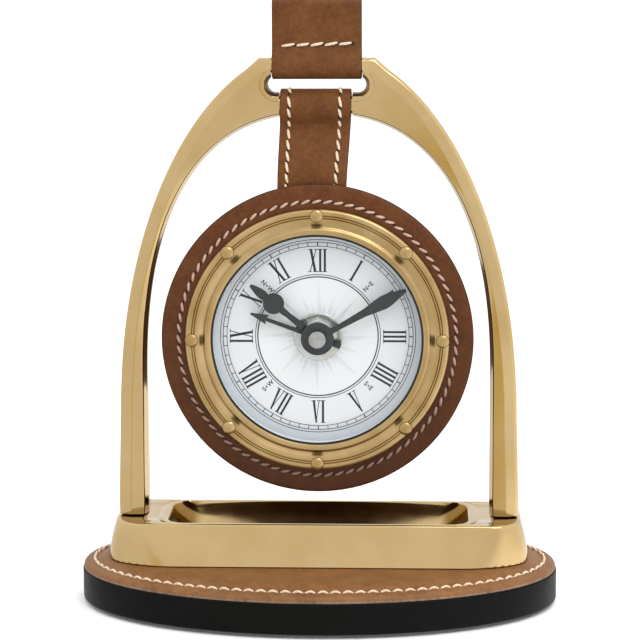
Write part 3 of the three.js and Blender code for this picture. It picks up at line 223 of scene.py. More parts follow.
@dataclass(frozen=True)
class CastBrass(Finish):
    """Cast brass, filed and mopped: near mirror, with slow waves and fine wheel marks."""

    colour: str = "#B59D72"
    deep: str = "#AC9263"
    low: float = 0.07
    high: float = 0.13
    wave: float = 0.03
    ends: Point = (0.0, 0.0)

    def surface(self, tree: Tree, coords: Socket) -> Inputs:
        """Slow tone change, uneven gloss, polishing waves and hairline marks.

        Args:
            tree: The material's node tree.
            coords: Object coordinates.

        Returns:
            What the shader's sockets get.
        """
        drawn_out = add_node(tree, "Mapping", {
            "Vector": coords, "Rotation": (0.0, 0.0, 0.6), "Scale": (1.0, 1.0 / 30.0, 1.0),
        }).outputs[0]
        tone, gloss, waves, hair = (
            add_node(tree, "TexNoise", {
                "Vector": way, "Scale": per_mm(size), "Detail": detail,
                "Roughness": NOISE_ROUGHNESS,
            }).outputs[0]
            for way, size, detail in ((coords, 22.0, 3.0), (coords, 6.0, 5.0),
                                      (coords, 9.0, 1.0), (drawn_out, 0.5, 2.0)))
        colour = add_node(tree, "ValToRGB", {"Fac": tone},
                          [(0.3, self.deep), (0.7, self.colour)]).outputs[0]
        waved = add_node(tree, "Bump", {"Height": waves, "Distance": self.wave * MM}).outputs[0]
        shader = {
            "Base Color": colour,
            "Roughness": add_node(tree, "MapRange", {
                "Value": gloss, **NOISE_SPAN, "To Min": self.low, "To Max": self.high,
            }).outputs[0],
            "Normal": add_node(tree, "Bump", {
                "Height": hair, "Distance": 0.0015 * MM, "Normal": waved}).outputs[0],
            "Metallic": 1.0,
        }
        if any(self.ends):
            shader["Base Color"] = self.browned(tree, coords, colour)
            shader["Specular Tint"] = linear("#DFCFAF")
        return shader

    def browned(self, tree: Tree, coords: Socket, colour: Socket) -> Socket:
        """Browns the metal between two distances left and right of the middle.

        Args:
            tree: The material's node tree.
            coords: Object coordinates.
            colour: The colour before.

        Returns:
            The colour after.
        """
        start, end = self.ends
        aside = add_node(tree, "SeparateXYZ", {0: coords}).outputs["X"]
        wide = add_node(tree, "Math", {0: aside}, operation="ABSOLUTE").outputs[0]
        brown = add_node(tree, "MapRange", {
            "Value": wide, "From Min": start * MM, "From Max": end * MM,
        }, interpolation_type="SMOOTHSTEP").outputs[0]
        return add_node(tree, "Mix", {0: brown, 6: colour, 7: linear("#7C5F36")},
                        data_type="RGBA").outputs[2]


@dataclass(frozen=True)
class TurnedBrass(Finish):
    """Brass turned on a lathe and satin brushed: rings of tool marks round the hand axis."""

    colour: str = "#AE966B"
    deep: str = "#9A8055"
    low: float = 0.27
    high: float = 0.38
    cove: float = 40.35
    pins: int = 8

    def surface(self, tree: Tree, coords: Socket) -> Inputs:
        """Tool marks by distance from the axis, over a slow tone change, with painted shade beside
        the pins.

        Args:
            tree: The material's node tree.
            coords: Object coordinates.

        Returns:
            What the shader's sockets get.
        """
        centred, radius = from_hand_axis(tree, coords)
        marks = add_node(tree, "TexNoise", {"W": radius, "Scale": per_mm(0.22), "Detail": 2.0},
                         noise_dimensions="1D").outputs[0]
        tone = add_node(tree, "TexNoise", {
            "Vector": coords, "Scale": per_mm(14.0), "Detail": 3.0, "Roughness": NOISE_ROUGHNESS,
        }).outputs[0]
        colour = add_node(tree, "ValToRGB", {"Fac": tone},
                          [(0.3, self.deep), (0.65, self.colour)]).outputs[0]
        # Painted shade and dark reflection in the cove beside each pin.
        return {
            "Base Color": add_node(tree, "Mix", {
                0: self.painted_pin_shade(tree, centred, radius), 6: colour, 7: linear("#4E3E22"),
            }, data_type="RGBA").outputs[2],
            "Roughness": add_node(tree, "MapRange", {
                "Value": marks, **NOISE_SPAN, "To Min": self.low, "To Max": self.high,
            }).outputs[0],
            "Normal": add_node(tree, "Bump", {
                "Height": marks, "Distance": 0.006 * MM}).outputs[0],
            "Metallic": 1.0,
        }

    def painted_pin_shade(self, tree: Tree, centred: Socket, radius: Socket) -> Socket:
        """Paints shade and a dark reflection into the cove beside each pin.

        Args:
            tree: The material's node tree.
            centred: Coordinates with the hand axis at their origin.
            radius: Distance from the hand axis.

        Returns:
            A factor, 1 where the brass is darkest.
        """
        parts = add_node(tree, "SeparateXYZ", {0: centred}).outputs
        angle = add_node(tree, "Math", {0: parts["X"], 1: parts["Z"]}, operation="ARCTAN2")
        turns = add_node(tree, "Math", {0: angle.outputs[0], 1: float(self.pins)},
                         operation="MULTIPLY")
        wave = add_node(tree, "Math", {0: turns.outputs[0]}, operation="COSINE")
        away = add_node(tree, "Math", {0: radius, 1: self.cove * MM}, operation="SUBTRACT")
        apart = add_node(tree, "Math", {0: away.outputs[0]}, operation="ABSOLUTE")
        near_pin, in_cove = (
            add_node(tree, "MapRange", {
                "Value": value.outputs[0], "From Min": start, "From Max": end,
            }, interpolation_type="SMOOTHSTEP").outputs[0]
            for value, start, end in ((wave, 0.88, 0.99), (apart, 1.15 * MM, 0.35 * MM)))
        return add_node(tree, "Math", {0: near_pin, 1: in_cove}, operation="MULTIPLY").outputs[0]


@dataclass(frozen=True)
class Lacquer(Finish):
    """Lacquer sprayed on wood and rubbed to a soft gloss, with a faint orange peel."""

    colour: str = "#070706"
    pale: str = "#0B0B0A"
    smoothest: float = 0.4
    roughest: float = 0.5

    def surface(self, tree: Tree, coords: Socket) -> Inputs:
        """A nearly even tone, a rubbed gloss and a faint orange peel.

        Args:
            tree: The material's node tree.
            coords: Object coordinates.

        Returns:
            What the shader's sockets get.
        """
        dust, peel = (
            add_node(tree, "TexNoise", {
                "Vector": coords, "Scale": per_mm(size), "Detail": detail,
                "Roughness": NOISE_ROUGHNESS,
            }).outputs[0]
            for size, detail in ((5.0, 4.0), (1.8, 1.0)))
        return {
            "Base Color": add_node(tree, "ValToRGB", {"Fac": dust},
                                   [(0.35, self.colour), (0.75, self.pale)]).outputs[0],
            "Roughness": add_node(tree, "MapRange", {
                "Value": dust, **NOISE_SPAN, "To Min": self.smoothest, "To Max": self.roughest,
            }).outputs[0],
            "Normal": add_node(tree, "Bump", {"Height": peel, "Distance": 0.006 * MM}).outputs[0],
            "Specular IOR Level": 0.07,
        }


@dataclass(frozen=True)
class Leather(Finish):
    """Waxed saddle leather: mottled dye, pale flecks, a fine pebbled grain and a dull wax gloss."""

    colour: str = "#734930"
    light: str = "#855638"
    dark: str = "#5C3622"
    fleck: str = "#9A6A46"
    grain: float = 0.75
    rough: float = 0.52
    depth: float = 0.05
    low_shade_colour: str = "#2E1509"
    low_shade: Spot = (-2.0, -1.0, 0.0)
    gloss: float = 0.14

    def surface(self, tree: Tree, coords: Socket) -> Inputs:
        """Dye mottle in two sizes, flecks, pebble cells and pores.

        Args:
            tree: The material's node tree.
            coords: Object coordinates.

        Returns:
            What the shader's sockets get.
        """
        clouds, mottle, speck = (
            add_node(tree, "TexNoise", {
                "Vector": coords, "Scale": per_mm(size), "Detail": detail,
                "Roughness": NOISE_ROUGHNESS,
            }).outputs[0]
            for size, detail in ((9.0, 4.0), (1.6, 5.0), (0.55, 2.0)))
        mixed = add_node(tree, "Mix", {0: 0.5, 2: clouds, 3: mottle}).outputs[0]
        colour = add_node(tree, "ValToRGB", {"Fac": mixed}, [
            (0.36, self.dark), (0.5, self.colour), (0.64, self.light)]).outputs[0]
        flecks = add_node(tree, "MapRange", {
            "Value": speck, "From Min": 0.6, "From Max": 0.76, "To Max": 0.55}).outputs[0]
        # Painted shade: darker low down, where a strength is set.
        low_shading = towards_low(tree, coords, self.low_shade)
        for factor, other in ((flecks, self.fleck), (low_shading, self.low_shade_colour)):
            colour = add_node(tree, "Mix", {0: factor, 6: colour, 7: linear(other)},
                              data_type="RGBA").outputs[2]
        cells = add_node(tree, "TexVoronoi", {"Vector": coords, "Scale": per_mm(self.grain)},
                         feature="SMOOTH_F1").outputs["Distance"]
        pebbles = add_node(tree, "Bump", {
            "Height": cells, "Distance": -self.depth * MM}).outputs[0]
        return {
            "Base Color": colour,
            "Roughness": add_node(tree, "MapRange", {
                "Value": mottle, **NOISE_SPAN, "To Min": self.rough, "To Max": self.rough + 0.16,
            }).outputs[0],
            "Normal": add_node(tree, "Bump", {
                "Height": mottle, "Distance": self.depth * 1.6 * MM, "Normal": pebbles,
            }).outputs[0],
            "Specular IOR Level": self.gloss,
        }


@dataclass(frozen=True)
class Thread(Finish):
    """Waxed linen thread: cream, with its twist and painted shade in the dips."""

    colour: str = "#E3CFB2"
    shade: str = "#B4937A"
    low_shade: Spot = (-2.0, -1.0, 0.0)

    def surface(self, tree: Tree, coords: Socket) -> Inputs:
        """A coarse twist, drawn at 0.35 mm so that it still shows.

        Args:
            tree: The material's node tree.
            coords: Object coordinates.

        Returns:
            What the shader's sockets get.
        """
        twist = add_node(tree, "TexNoise", {
            "Vector": coords, "Scale": per_mm(0.35), "Detail": 2.0, "Roughness": NOISE_ROUGHNESS,
        }).outputs[0]
        # Painted shade: the twist's dips are darker.
        colour = add_node(tree, "ValToRGB", {"Fac": twist},
                          [(0.35, self.shade), (0.6, self.colour)]).outputs[0]
        return {
            # Painted shade low down, where a strength is set.
            "Base Color": add_node(tree, "Mix", {
                0: towards_low(tree, coords, self.low_shade), 6: colour, 7: linear("#5A382B"),
            }, data_type="RGBA").outputs[2],
            "Normal": add_node(tree, "Bump", {"Height": twist, "Distance": 0.05 * MM}).outputs[0],
            "Roughness": 0.7,
            "Sheen Weight": 0.2,
        }


@dataclass(frozen=True)
class Plain(Finish):
    """A moulded, plated, painted or felted surface: one tone, uneven gloss and a fine texture."""

    colour: str = "#808080"
    other: str = "#787878"
    rough: float = 0.5
    spread: float = 0.08
    metallic: float = 0.0
    size: float = 1.2
    depth: float = 0.01
    sheen: float = 0.0

    def surface(self, tree: Tree, coords: Socket) -> Inputs:
        """Slight tone change, uneven gloss and a fine bump.

        Args:
            tree: The material's node tree.
            coords: Object coordinates.

        Returns:
            What the shader's sockets get.
        """
        fine, slow = (
            add_node(tree, "TexNoise", {
                "Vector": coords, "Scale": per_mm(size), "Detail": detail,
                "Roughness": NOISE_ROUGHNESS,
            }).outputs[0]
            for size, detail in ((self.size, 3.0), (self.size * 7, 2.0)))
        return {
            "Base Color": add_node(tree, "ValToRGB", {"Fac": slow},
                                   [(0.35, self.other), (0.65, self.colour)]).outputs[0],
            "Roughness": add_node(tree, "MapRange", {
                "Value": fine, **NOISE_SPAN, "To Min": self.rough,
                "To Max": self.rough + self.spread,
            }).outputs[0],
            "Normal": add_node(tree, "Bump", {
                "Height": fine, "Distance": self.depth * MM}).outputs[0],
            "Metallic": self.metallic,
            "Sheen Weight": self.sheen,
        }


@dataclass(frozen=True)
class DialPaint(Finish):
    """Dial white, screen printed: cooler and greyer outside the inner ring, as the print shows, and
    darker at the rim with painted shade from the bezel.
    """

    inner: str = "#D4D7D9"
    outer: str = "#CFD3D7"
    track: str = "#D2D6DA"
    # Painted shade of the bezel at the dial's edge.
    rim: str = "#B2B8BE"
    radius: float = 38.0

    def surface(self, tree: Tree, coords: Socket) -> Inputs:
        """Printed tone and the bezel's painted shade by distance from the hand axis, with a fine
        paper tooth.

        Args:
            tree: The material's node tree.
            coords: Object coordinates.

        Returns:
            What the shader's sockets get.
        """
        distance = from_hand_axis(tree, coords)[1]
        share = add_node(tree, "MapRange", {
            "Value": distance, "From Max": self.radius * MM}).outputs[0]
        tooth = add_node(tree, "TexNoise", {
            "Vector": coords, "Scale": per_mm(0.8), "Detail": 2.0, "Roughness": NOISE_ROUGHNESS,
        }).outputs[0]
        return {
            # The rim stop is painted shade that the bezel casts on the dial's edge.
            "Base Color": add_node(tree, "ValToRGB", {"Fac": share}, [
                (0.0, self.inner), (0.56, self.inner), (0.585, self.outer), (0.8, self.track),
                (1.0, self.rim),
            ]).outputs[0],
            "Roughness": add_node(tree, "MapRange", {
                "Value": tooth, **NOISE_SPAN, "To Min": 0.42, "To Max": 0.5}).outputs[0],
            "Normal": add_node(tree, "Bump", {
                "Height": tooth, "Distance": 0.003 * MM}).outputs[0],
        }


@dataclass(frozen=True)
class Crystal(Finish):
    """Mineral glass, clear and slightly domed: only its gloss shows."""

    tint: str = "#20282C"
    alpha: float = 0.02

    def surface(self, tree: Tree, coords: Socket) -> Inputs:
        """Nearly see-through, with a faint wipe mark in the gloss.

        Args:
            tree: The material's node tree.
            coords: Object coordinates.

        Returns:
            What the shader's sockets get.
        """
        wipe = add_node(tree, "TexNoise", {
            "Vector": coords, "Scale": per_mm(12.0), "Detail": 2.0, "Roughness": NOISE_ROUGHNESS,
        }).outputs[0]
        return {
            "Roughness": add_node(tree, "MapRange", {
                "Value": wipe, **NOISE_SPAN, "To Min": 0.02, "To Max": 0.05}).outputs[0],
            "Base Color": linear(self.tint),
            "Alpha": self.alpha,
            "Specular IOR Level": 0.5,
        }


# Cast brass polished on a mop is bright and almost a mirror.
CAST_BRASS = CastBrass("cast_brass_polished")
# Down in the tray the mop reaches less: duller, and brown towards both ends.
TRAY_BRASS = CastBrass("cast_brass_tray", "#B59D72", "#A88E62", 0.11, 0.17, 0.03, (42.0, 46.5))
# Where no mop reaches, the casting keeps a dull skin; its dark colour is painted dark reflection.
DULL_DARK_BRASS = CastBrass("cast_brass_dull_painted_dark", "#7A5A2C", "#5E4420", 0.3, 0.42, 0.05)
# Turned brass shines in rings, and the small pin heads are rubbed dull.
TURNED_BRASS = TurnedBrass("turned_brass_satin")
PIN_BRASS = CastBrass("brass_pin_heads", "#A89064", "#94794C", 0.26, 0.36, 0.02)
# Lacquered wood is deep black with a soft gloss.
BLACK_LACQUER = Lacquer("black_lacquer_on_wood")
# The case is lacquered so thinly that it looks brown, as its reflection in the brass shows.
CASE_LACQUER = Lacquer("thin_lacquer_on_walnut", "#4A3220", "#533C28")
# The plinth's leather is tan, the straps are mid brown, and the face ring darkens towards its foot
# as painted shade.
TOP_LEATHER = Leather("tan_saddle_leather", "#744D29", "#805730", "#654120", "#8C633A", 0.8, 0.45,
                      gloss=0.26)
STRAP_LEATHER = Leather("brown_bridle_leather", "#5C3719", "#67401F", "#4E2D14", "#7A4F29")
FACE_LEATHER = Leather("dark_saddle_leather", "#573117", "#5F381B", "#4B2811", "#663E1E",
                       0.7, 0.42, 0.05, "#2E1509", (35.0, 150.0, 0.7))
# Burnished edges are smooth and dark; the plinth's edge is waxed and shows the raw leather.
BURNISHED = Leather("burnished_leather_edge", "#46291B", "#54331F", "#341D13", "#5E3C28",
                    0.5, 0.38, 0.02)
TOP_EDGE = Leather("waxed_leather_edge", "#7A6352", "#8C7462", "#5E4A3A", "#96806C",
                   0.5, 0.45, 0.02)
# Waxed linen thread is cream; on the face ring it darkens low down as painted shade.
THREAD = Thread("waxed_linen_thread")
FACE_THREAD = Thread("dusty_linen_thread", "#C9A893", "#94705C", (42.0, 135.0, 0.8))
# The awl's holes are deep: their dark colour is painted shade on shallow lenses.
STITCH_HOLE = Plain("stitch_hole", "#1C0F09", "#140A06", 0.8)
# Felt is matt black with a soft nap.
FELT = Plain("black_felt", "#1A1A18", "#141412", 0.9, 0.08, 0.0, 0.4, 0.12, 0.5)
# Zinc-plated steel is pale and slightly cloudy; satin nickel is darker and even.
STEEL = Plain("zinc_plated_steel", "#C6C9C8", "#B4B8B8", 0.24, 0.14, 1.0, 0.6, 0.004)
SATIN_STEEL = Plain("satin_nickel", "#8E918F", "#A6A9A8", 0.34, 0.1, 1.0, 0.4, 0.006)
# Printing ink is matt: near black in bold strokes, grey in thin lines, pale in the rays.
INK = Plain("dial_ink", "#171B1E", "#1F2427", 0.45)
FINE_INK = Plain("dial_fine_ink", "#343B3F", "#40474B", 0.5)
PALE_INK = Plain("dial_pale_ink", "#C3C7CA", "#CDD0D2", 0.5)
DIAL_WHITE = DialPaint("dial_white_print")
# The hands' paint is near black with a satin gloss.
HAND_PAINT = Plain("satin_black_hand_paint", "#23292B", "#1D2224", 0.36, 0.1, 0.0, 1.0, 0.008)
# Rubber is black and dull; the lip gasket's black ring also stands for the bezel's shadow at the
# dial's edge.
GASKET = Plain("black_rubber_gasket", "#0C0C0C", "#101010", 0.7)
# Moulded plastics are fine grained and dull.
BLACK_PLASTIC = Plain("black_moulded_plastic", "#1B1C1D", "#232425", 0.48, 0.14, 0.0, 0.5, 0.03)
KNOB_PLASTIC = Plain("knob_moulded_plastic", "#242527", "#1C1D1F", 0.36, 0.1, 0.0, 0.5, 0.02)
WHITE_PLASTIC = Plain("white_moulded_plastic", "#DADDDF", "#D0D3D6", 0.5)
# The cell's shrunk jacket is glossy and a little pearly.
CELL_JACKET = Plain("cell_shrink_jacket", "#3A5F8A", "#335478", 0.28, 0.1, 0.15, 2.0, 0.01)
# Mineral glass is clear, so that only its gloss shows.
CRYSTAL = Crystal("mineral_glass")
PALE_FLOOR = Plain("pale_floor", "#F5F5F5", "#F2F2F2", 0.85, 0.05)


# Modelling

def fresh() -> None:
    """Leaves edit mode and deselects everything, so that an operator acts on its own piece."""
    if bpy.context.object and bpy.context.object.mode != "OBJECT":
        bpy.ops.object.mode_set(mode="OBJECT")
    bpy.ops.object.select_all(action="DESELECT")


def take(obj: Object) -> Object:
    """Selects one object alone and makes it active.

    Args:
        obj: The object.

    Returns:
        The same object.
    """
    fresh()
    obj.select_set(True)
    bpy.context.view_layer.objects.active = obj
    return obj


def named(name: str) -> Object:
    """Names the object that an operator just made, and its mesh.

    Args:
        name: The name.

    Returns:
        The object.
    """
    obj = bpy.context.active_object
    obj.name = obj.data.name = name
    return obj


def apply_modifier(obj: Object, kind: str, **settings: object) -> Object:
    """Adds a modifier, sets it and applies it.

    Args:
        obj: The piece that gets it.
        kind: The modifier's type.
        settings: Its properties.

    Returns:
        The same piece.
    """
    take(obj)
    bpy.ops.object.modifier_add(type=kind)
    modifier = obj.modifiers[-1]
    for key, value in settings.items():
        setattr(modifier, key, value)
    bpy.ops.object.modifier_apply(modifier=modifier.name)
    return obj


def combine(obj: Object, tool: Object, operation: str) -> Object:
    """Joins, cuts or keeps the common part of two closed pieces, and deletes the tool.

    Args:
        obj: The piece that stays.
        tool: The other piece.
        operation: UNION, DIFFERENCE or INTERSECT.

    Returns:
        The piece that stays.
    """
    apply_modifier(obj, "BOOLEAN", object=tool, operation=operation, solver="EXACT")
    bpy.data.objects.remove(tool)
    return obj


def rod(radius: float, low: float, high: float) -> list[Point]:
    """Profile of a plain rod between two heights, in millimetres."""
    return [(0, low), (radius, low), (radius, high), (0, high)]


def clean(obj: Object, caps: bool = False) -> Object:
    """Merges doubles, closes open ends if asked, and turns all faces outwards.

    Args:
        obj: The piece.
        caps: Whether open ends are closed.

    Returns:
        The piece.
    """
    take(obj)
    bpy.ops.object.mode_set(mode="EDIT")
    bpy.ops.mesh.select_mode(type="VERT")
    bpy.ops.mesh.select_all(action="SELECT")
    bpy.ops.mesh.remove_doubles(threshold=1e-6)
    if caps:
        bpy.ops.mesh.select_all(action="SELECT")
        bpy.ops.mesh.fill_holes(sides=0)
    bpy.ops.mesh.select_all(action="SELECT")
    bpy.ops.mesh.normals_make_consistent(inside=False)
    bpy.ops.object.mode_set(mode="OBJECT")
    return obj


def shaded(obj: Object, degrees: float = 35.0) -> Object:
    """Smooths the shading over edges flatter than that angle.

    Args:
        obj: The piece.
        degrees: The angle.

    Returns:
        The piece.
    """
    take(obj)
    bpy.ops.object.shade_smooth_by_angle(angle=math.radians(degrees))
    return obj


def skinned(name: str, rings: Sequence[Sequence[Vector]], loop: bool = False) -> Object:
    """Draws a skin over rings of points: a grid whose rows are laid on the rings.

    Args:
        name: The piece's name.
        rings: Rings of equally many points, in metres.
        loop: Whether the last ring joins the first; if not, both ends are closed with a face.

    Returns:
        The new piece.
    """
    fresh()
    columns, rows = len(rings[0]) + 1, len(rings) + int(loop)
    bpy.ops.mesh.primitive_grid_add(x_subdivisions=columns - 1, y_subdivisions=rows - 1, size=1)
    obj = named(name)
    places = [
        rings[r % len(rings)][c % len(rings[0])][k]
        for r in range(rows) for c in range(columns) for k in range(3)
    ]
    obj.data.vertices.foreach_set("co", places)
    return clean(obj, caps=not loop)


def turned(name: str, profile: Sequence[Point], centre: Vector, axis: Vector = FORWARD,
           across: Vector = ACROSS, steps: int = 128) -> Object:
    """Spins a profile round an axis, as on a lathe.

    Args:
        name: The piece's name.
        profile: Radius and height pairs in millimetres; the outline closes on itself.
        centre: The point on the axis that heights are measured from, in metres.
        axis: The way that heights run.
        across: The way that radii run before the spin.
        steps: How many sides the round gets.

    Returns:
        The new piece.
    """
    fresh()
    points = [centre + (across * r + axis * h) * MM for r, h in profile]
    if profile[0][0] > 0:
        points.append(points[0])
    bpy.ops.mesh.primitive_plane_add(size=MM, location=(0.0, 0.0, 0.0))
    obj = named(name)
    bpy.ops.object.mode_set(mode="EDIT")
    bpy.ops.mesh.select_mode(type="VERT")
    bpy.ops.mesh.select_all(action="SELECT")
    bpy.ops.mesh.merge(type="CENTER")
    bpy.ops.transform.translate(value=points[0])
    for start, end in zip(points, points[1:]):
        bpy.ops.mesh.extrude_vertices_move(TRANSFORM_OT_translate={"value": end - start})
    bpy.ops.mesh.select_all(action="SELECT")
    bpy.ops.mesh.spin(steps=steps, angle=math.tau, center=centre, axis=axis)
    return clean(obj)


def prism(name: str, outline: Sequence[Vector], along: Vector) -> Object:
    """Draws a flat outline out to a prism.

    Args:
        name: The piece's name.
        outline: The outline's points in metres, in order.
        along: How far and which way it is drawn out.

    Returns:
        The new piece.
    """
    fresh()
    bpy.ops.mesh.primitive_circle_add(vertices=len(outline), radius=1.0, fill_type="NGON")
    obj = named(name)
    obj.data.vertices.foreach_set("co", [c for point in outline for c in point])
    bpy.ops.object.mode_set(mode="EDIT")
    bpy.ops.mesh.select_all(action="SELECT")
    bpy.ops.mesh.extrude_region_move(TRANSFORM_OT_translate={"value": along})
    return clean(obj)


def drill_pair(obj: Object, profile: Sequence[Point]) -> None:
    """Cuts the two upright screw holes into a piece of the stand.

    Args:
        obj: The piece.
        profile: Radius and height pairs of a hole, in millimetres.
    """
    for side in (-1, 1):
        tool = turned("tool", profile, mm(side * SCREW_OUT, 0, 0), UP, ACROSS, 24)
        combine(obj, tool, "DIFFERENCE")


def duplicate(obj: Object, name: str, place: Matrix) -> Object:
    """Copies a piece with its own mesh, and puts the copy's mesh in place.

    Args:
        obj: The piece.
        name: The copy's name.
        place: Moves the copy's mesh.

    Returns:
        The copy.
    """
    copy = obj.copy()
    copy.data = obj.data.copy()
    copy.name = copy.data.name = name
    copy.data.transform(place)
    bpy.context.collection.objects.link(copy)
    return copy


def joined(name: str, objects: Sequence[Object]) -> Object:
    """Joins pieces into one and names it.

    Args:
        name: The joined piece's name.
        objects: The pieces.

    Returns:
        The joined piece.
    """
    take(objects[0])
    for obj in objects:
        obj.select_set(True)
    bpy.ops.object.join()
    return named(name)


def soft_copy(node: str, name: str, width: float) -> Object:
    """Copies a CAD node, merges its triangles and rounds its edges.

    Args:
        node: The CAD node.
        name: The copy's name.
        width: Width of the rounded edge, in millimetres.

    Returns:
        The copy.
    """
    fresh()
    obj = bpy.data.objects.new(name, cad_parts[node].data.copy())
    obj.data.name = name
    obj.data.materials.clear()
    bpy.context.collection.objects.link(obj)
    take(obj)
    bpy.ops.mesh.customdata_custom_splitnormals_clear()
    clean(obj)
    bpy.ops.object.mode_set(mode="EDIT")
    bpy.ops.mesh.select_all(action="SELECT")
    bpy.ops.mesh.dissolve_limited(angle_limit=math.radians(1.0))
    bpy.ops.object.mode_set(mode="OBJECT")
    apply_modifier(obj, "BEVEL", width=width * MM, segments=2, limit_method="ANGLE",
                   angle_limit=math.radians(30), harden_normals=False)
    return shaded(obj, 40)


def dress(obj: Object, finish: Finish, body: Body, slot: str, *nodes: str) -> None:
    """Gives a piece its finish and body, and hides the nodes it stands for.

    Args:
        obj: The piece.
        finish: Its finish.
        body: The CAD body that it rides on.
        slot: The record's material slot. Not used.
        nodes: CAD nodes that it replaces.
    """
    if not obj.data.materials:
        obj.data.materials.append(finish.material())
    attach(obj, body.value)
    if nodes:
        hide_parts(*nodes)
    LOG.info("%s: %d faces on %s", obj.name, len(obj.data.polygons), body.value)


def split_finish(obj: Object, main: Finish, other: Finish,
                 is_other: Callable[[Face], bool]) -> None:
    """Gives a piece two finishes.

    Args:
        obj: The piece.
        main: The finish of most faces.
        other: The finish of the rest.
        is_other: Tells whether a face gets the other finish.
    """
    for finish in (main, other):
        obj.data.materials.append(finish.material())
    for face in obj.data.polygons:
        face.material_index = int(is_other(face))


def repaint(finish: Finish, *nodes: str) -> None:
    """Gives CAD nodes that stay their finish.

    Args:
        finish: The finish.
        nodes: The CAD nodes.
    """
    for node in nodes:
        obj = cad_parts[node]
        obj.data.materials.clear()
        obj.data.materials.append(finish.material())
        LOG.info("%s keeps its CAD shape", node)


# Seams

def thread_arc(name: str, length: float, rise: float, radius: float) -> Object:
    """One sewn stitch: a thread that leaves a hole, lies over the leather and enters the next.

    Args:
        name: The piece's name.
        length: From hole to hole, in millimetres.
        rise: How high the thread's middle lies over its ends.
        radius: The thread's radius.

    Returns:
        The stitch, along X with Z up, its middle at the origin.
    """
    sunk, thin = 0.35, 0.72
    rings = []
    for k in range(7):
        share = k / 6
        bow = math.sin(math.pi * share)
        middle = Vector(((share - 0.5) * length, 0.0, rise * bow - sunk))
        slope = math.atan(rise * math.pi / length * math.cos(math.pi * share))
        swell = radius * (thin + (1 - thin) * bow)
        ring = []
        for j in range(8):
            turn = math.tau * j / 8
            side, over = swell * math.cos(turn), swell * math.sin(turn)
            offset = Vector((-math.sin(slope) * over, side, math.cos(slope) * over))
            ring.append((middle + offset) * MM)
        rings.append(ring)
    return shaded(skinned(name, rings), 60)


def awl_hole(name: str, length: float, width: float) -> Object:
    """One awl hole: a shallow lens, dark with painted shade, that lies in the leather, along X with
    Z up.

    Args:
        name: The piece's name.
        length: Its length in millimetres.
        width: Its width in millimetres.

    Returns:
        The hole, its middle at the origin.
    """
    rings = [
        [mm(length / 2 * share * math.cos(math.tau * j / 8),
            width / 2 * share * math.sin(math.tau * j / 8), height) for j in range(8)]
        for height, share in ((0.05, 0.35), (0.03, 0.8), (-0.12, 1.0), (-0.3, 0.6))
    ]
    return shaded(skinned(name, rings), 60)


def laid(origin: Vector, along: Vector, normal: Vector, turn: float = 0.0) -> Matrix:
    """Place of a stitch: its X runs along the seam and its Z away from the leather.

    Args:
        origin: The stitch's middle on the leather, in metres.
        along: The seam's direction.
        normal: The leather's outward direction.
        turn: Angle in degrees that the stitch is turned about the normal.

    Returns:
        The placing matrix.
    """
    x = along.normalized()
    z = normal.normalized()
    y = z.cross(x).normalized()
    x = y.cross(z)
    basis = Matrix((x, y, z)).transposed().to_4x4()
    return Matrix.Translation(origin) @ basis @ Matrix.Rotation(math.radians(turn), 4, "Z")


@dataclass
class Seam:
    """A row of stitches with its awl holes.

    Args:
        name: Names its two pieces.
        spots: Where each stitch's middle lies: origin, along and normal.
        pitch: Distance from stitch to stitch, in millimetres.
        body: The CAD body that it rides on.
        slot: The material slot of the leather it lies on.
        finish: The thread's finish.
        radius: The thread's radius.
        rise: How far a stitch bows up.
        turn: How far each stitch is turned from the seam's line, in degrees.
        reach: A stitch's length as a share of the pitch.
        proud: How far thread and holes are lifted off the leather.
    """

    name: str
    spots: Sequence[tuple[Vector, Vector, Vector]]
    pitch: float
    body: Body
    slot: str
    finish: Finish = THREAD
    radius: float = 0.45
    rise: float = 0.6
    turn: float = 0.0
    reach: float = 0.86
    proud: float = 0.0

    def build(self) -> None:
        """Sews the row: one stitch and one hole, copied to every spot."""
        stitch = thread_arc("stitch", self.pitch * self.reach, self.rise, self.radius)
        hole = awl_hole("hole", self.pitch * 0.42, self.radius * (2.3 if self.proud else 1.5))
        rng = random.Random(self.name)
        threads, holes = [], []
        for k, (origin, along, normal) in enumerate(self.spots):
            jitter = rng.uniform(-3.0, 3.0)
            lift = normal.normalized() * self.proud * MM
            place = laid(origin + lift, along, normal, self.turn + jitter)
            threads.append(duplicate(stitch, f"{self.name}_{k}", place))
            step = along.normalized() * self.pitch * MM / 2
            place = laid(origin + step + lift, along, normal, self.turn)
            holes.append(duplicate(hole, f"{self.name}_hole_{k}", place))
        bpy.data.objects.remove(stitch)
        bpy.data.objects.remove(hole)
        dress(joined(f"{self.name}_thread", threads), self.finish, self.body, self.slot)
        dress(joined(f"{self.name}_holes", holes), STITCH_HOLE, self.body, self.slot)


# Stand

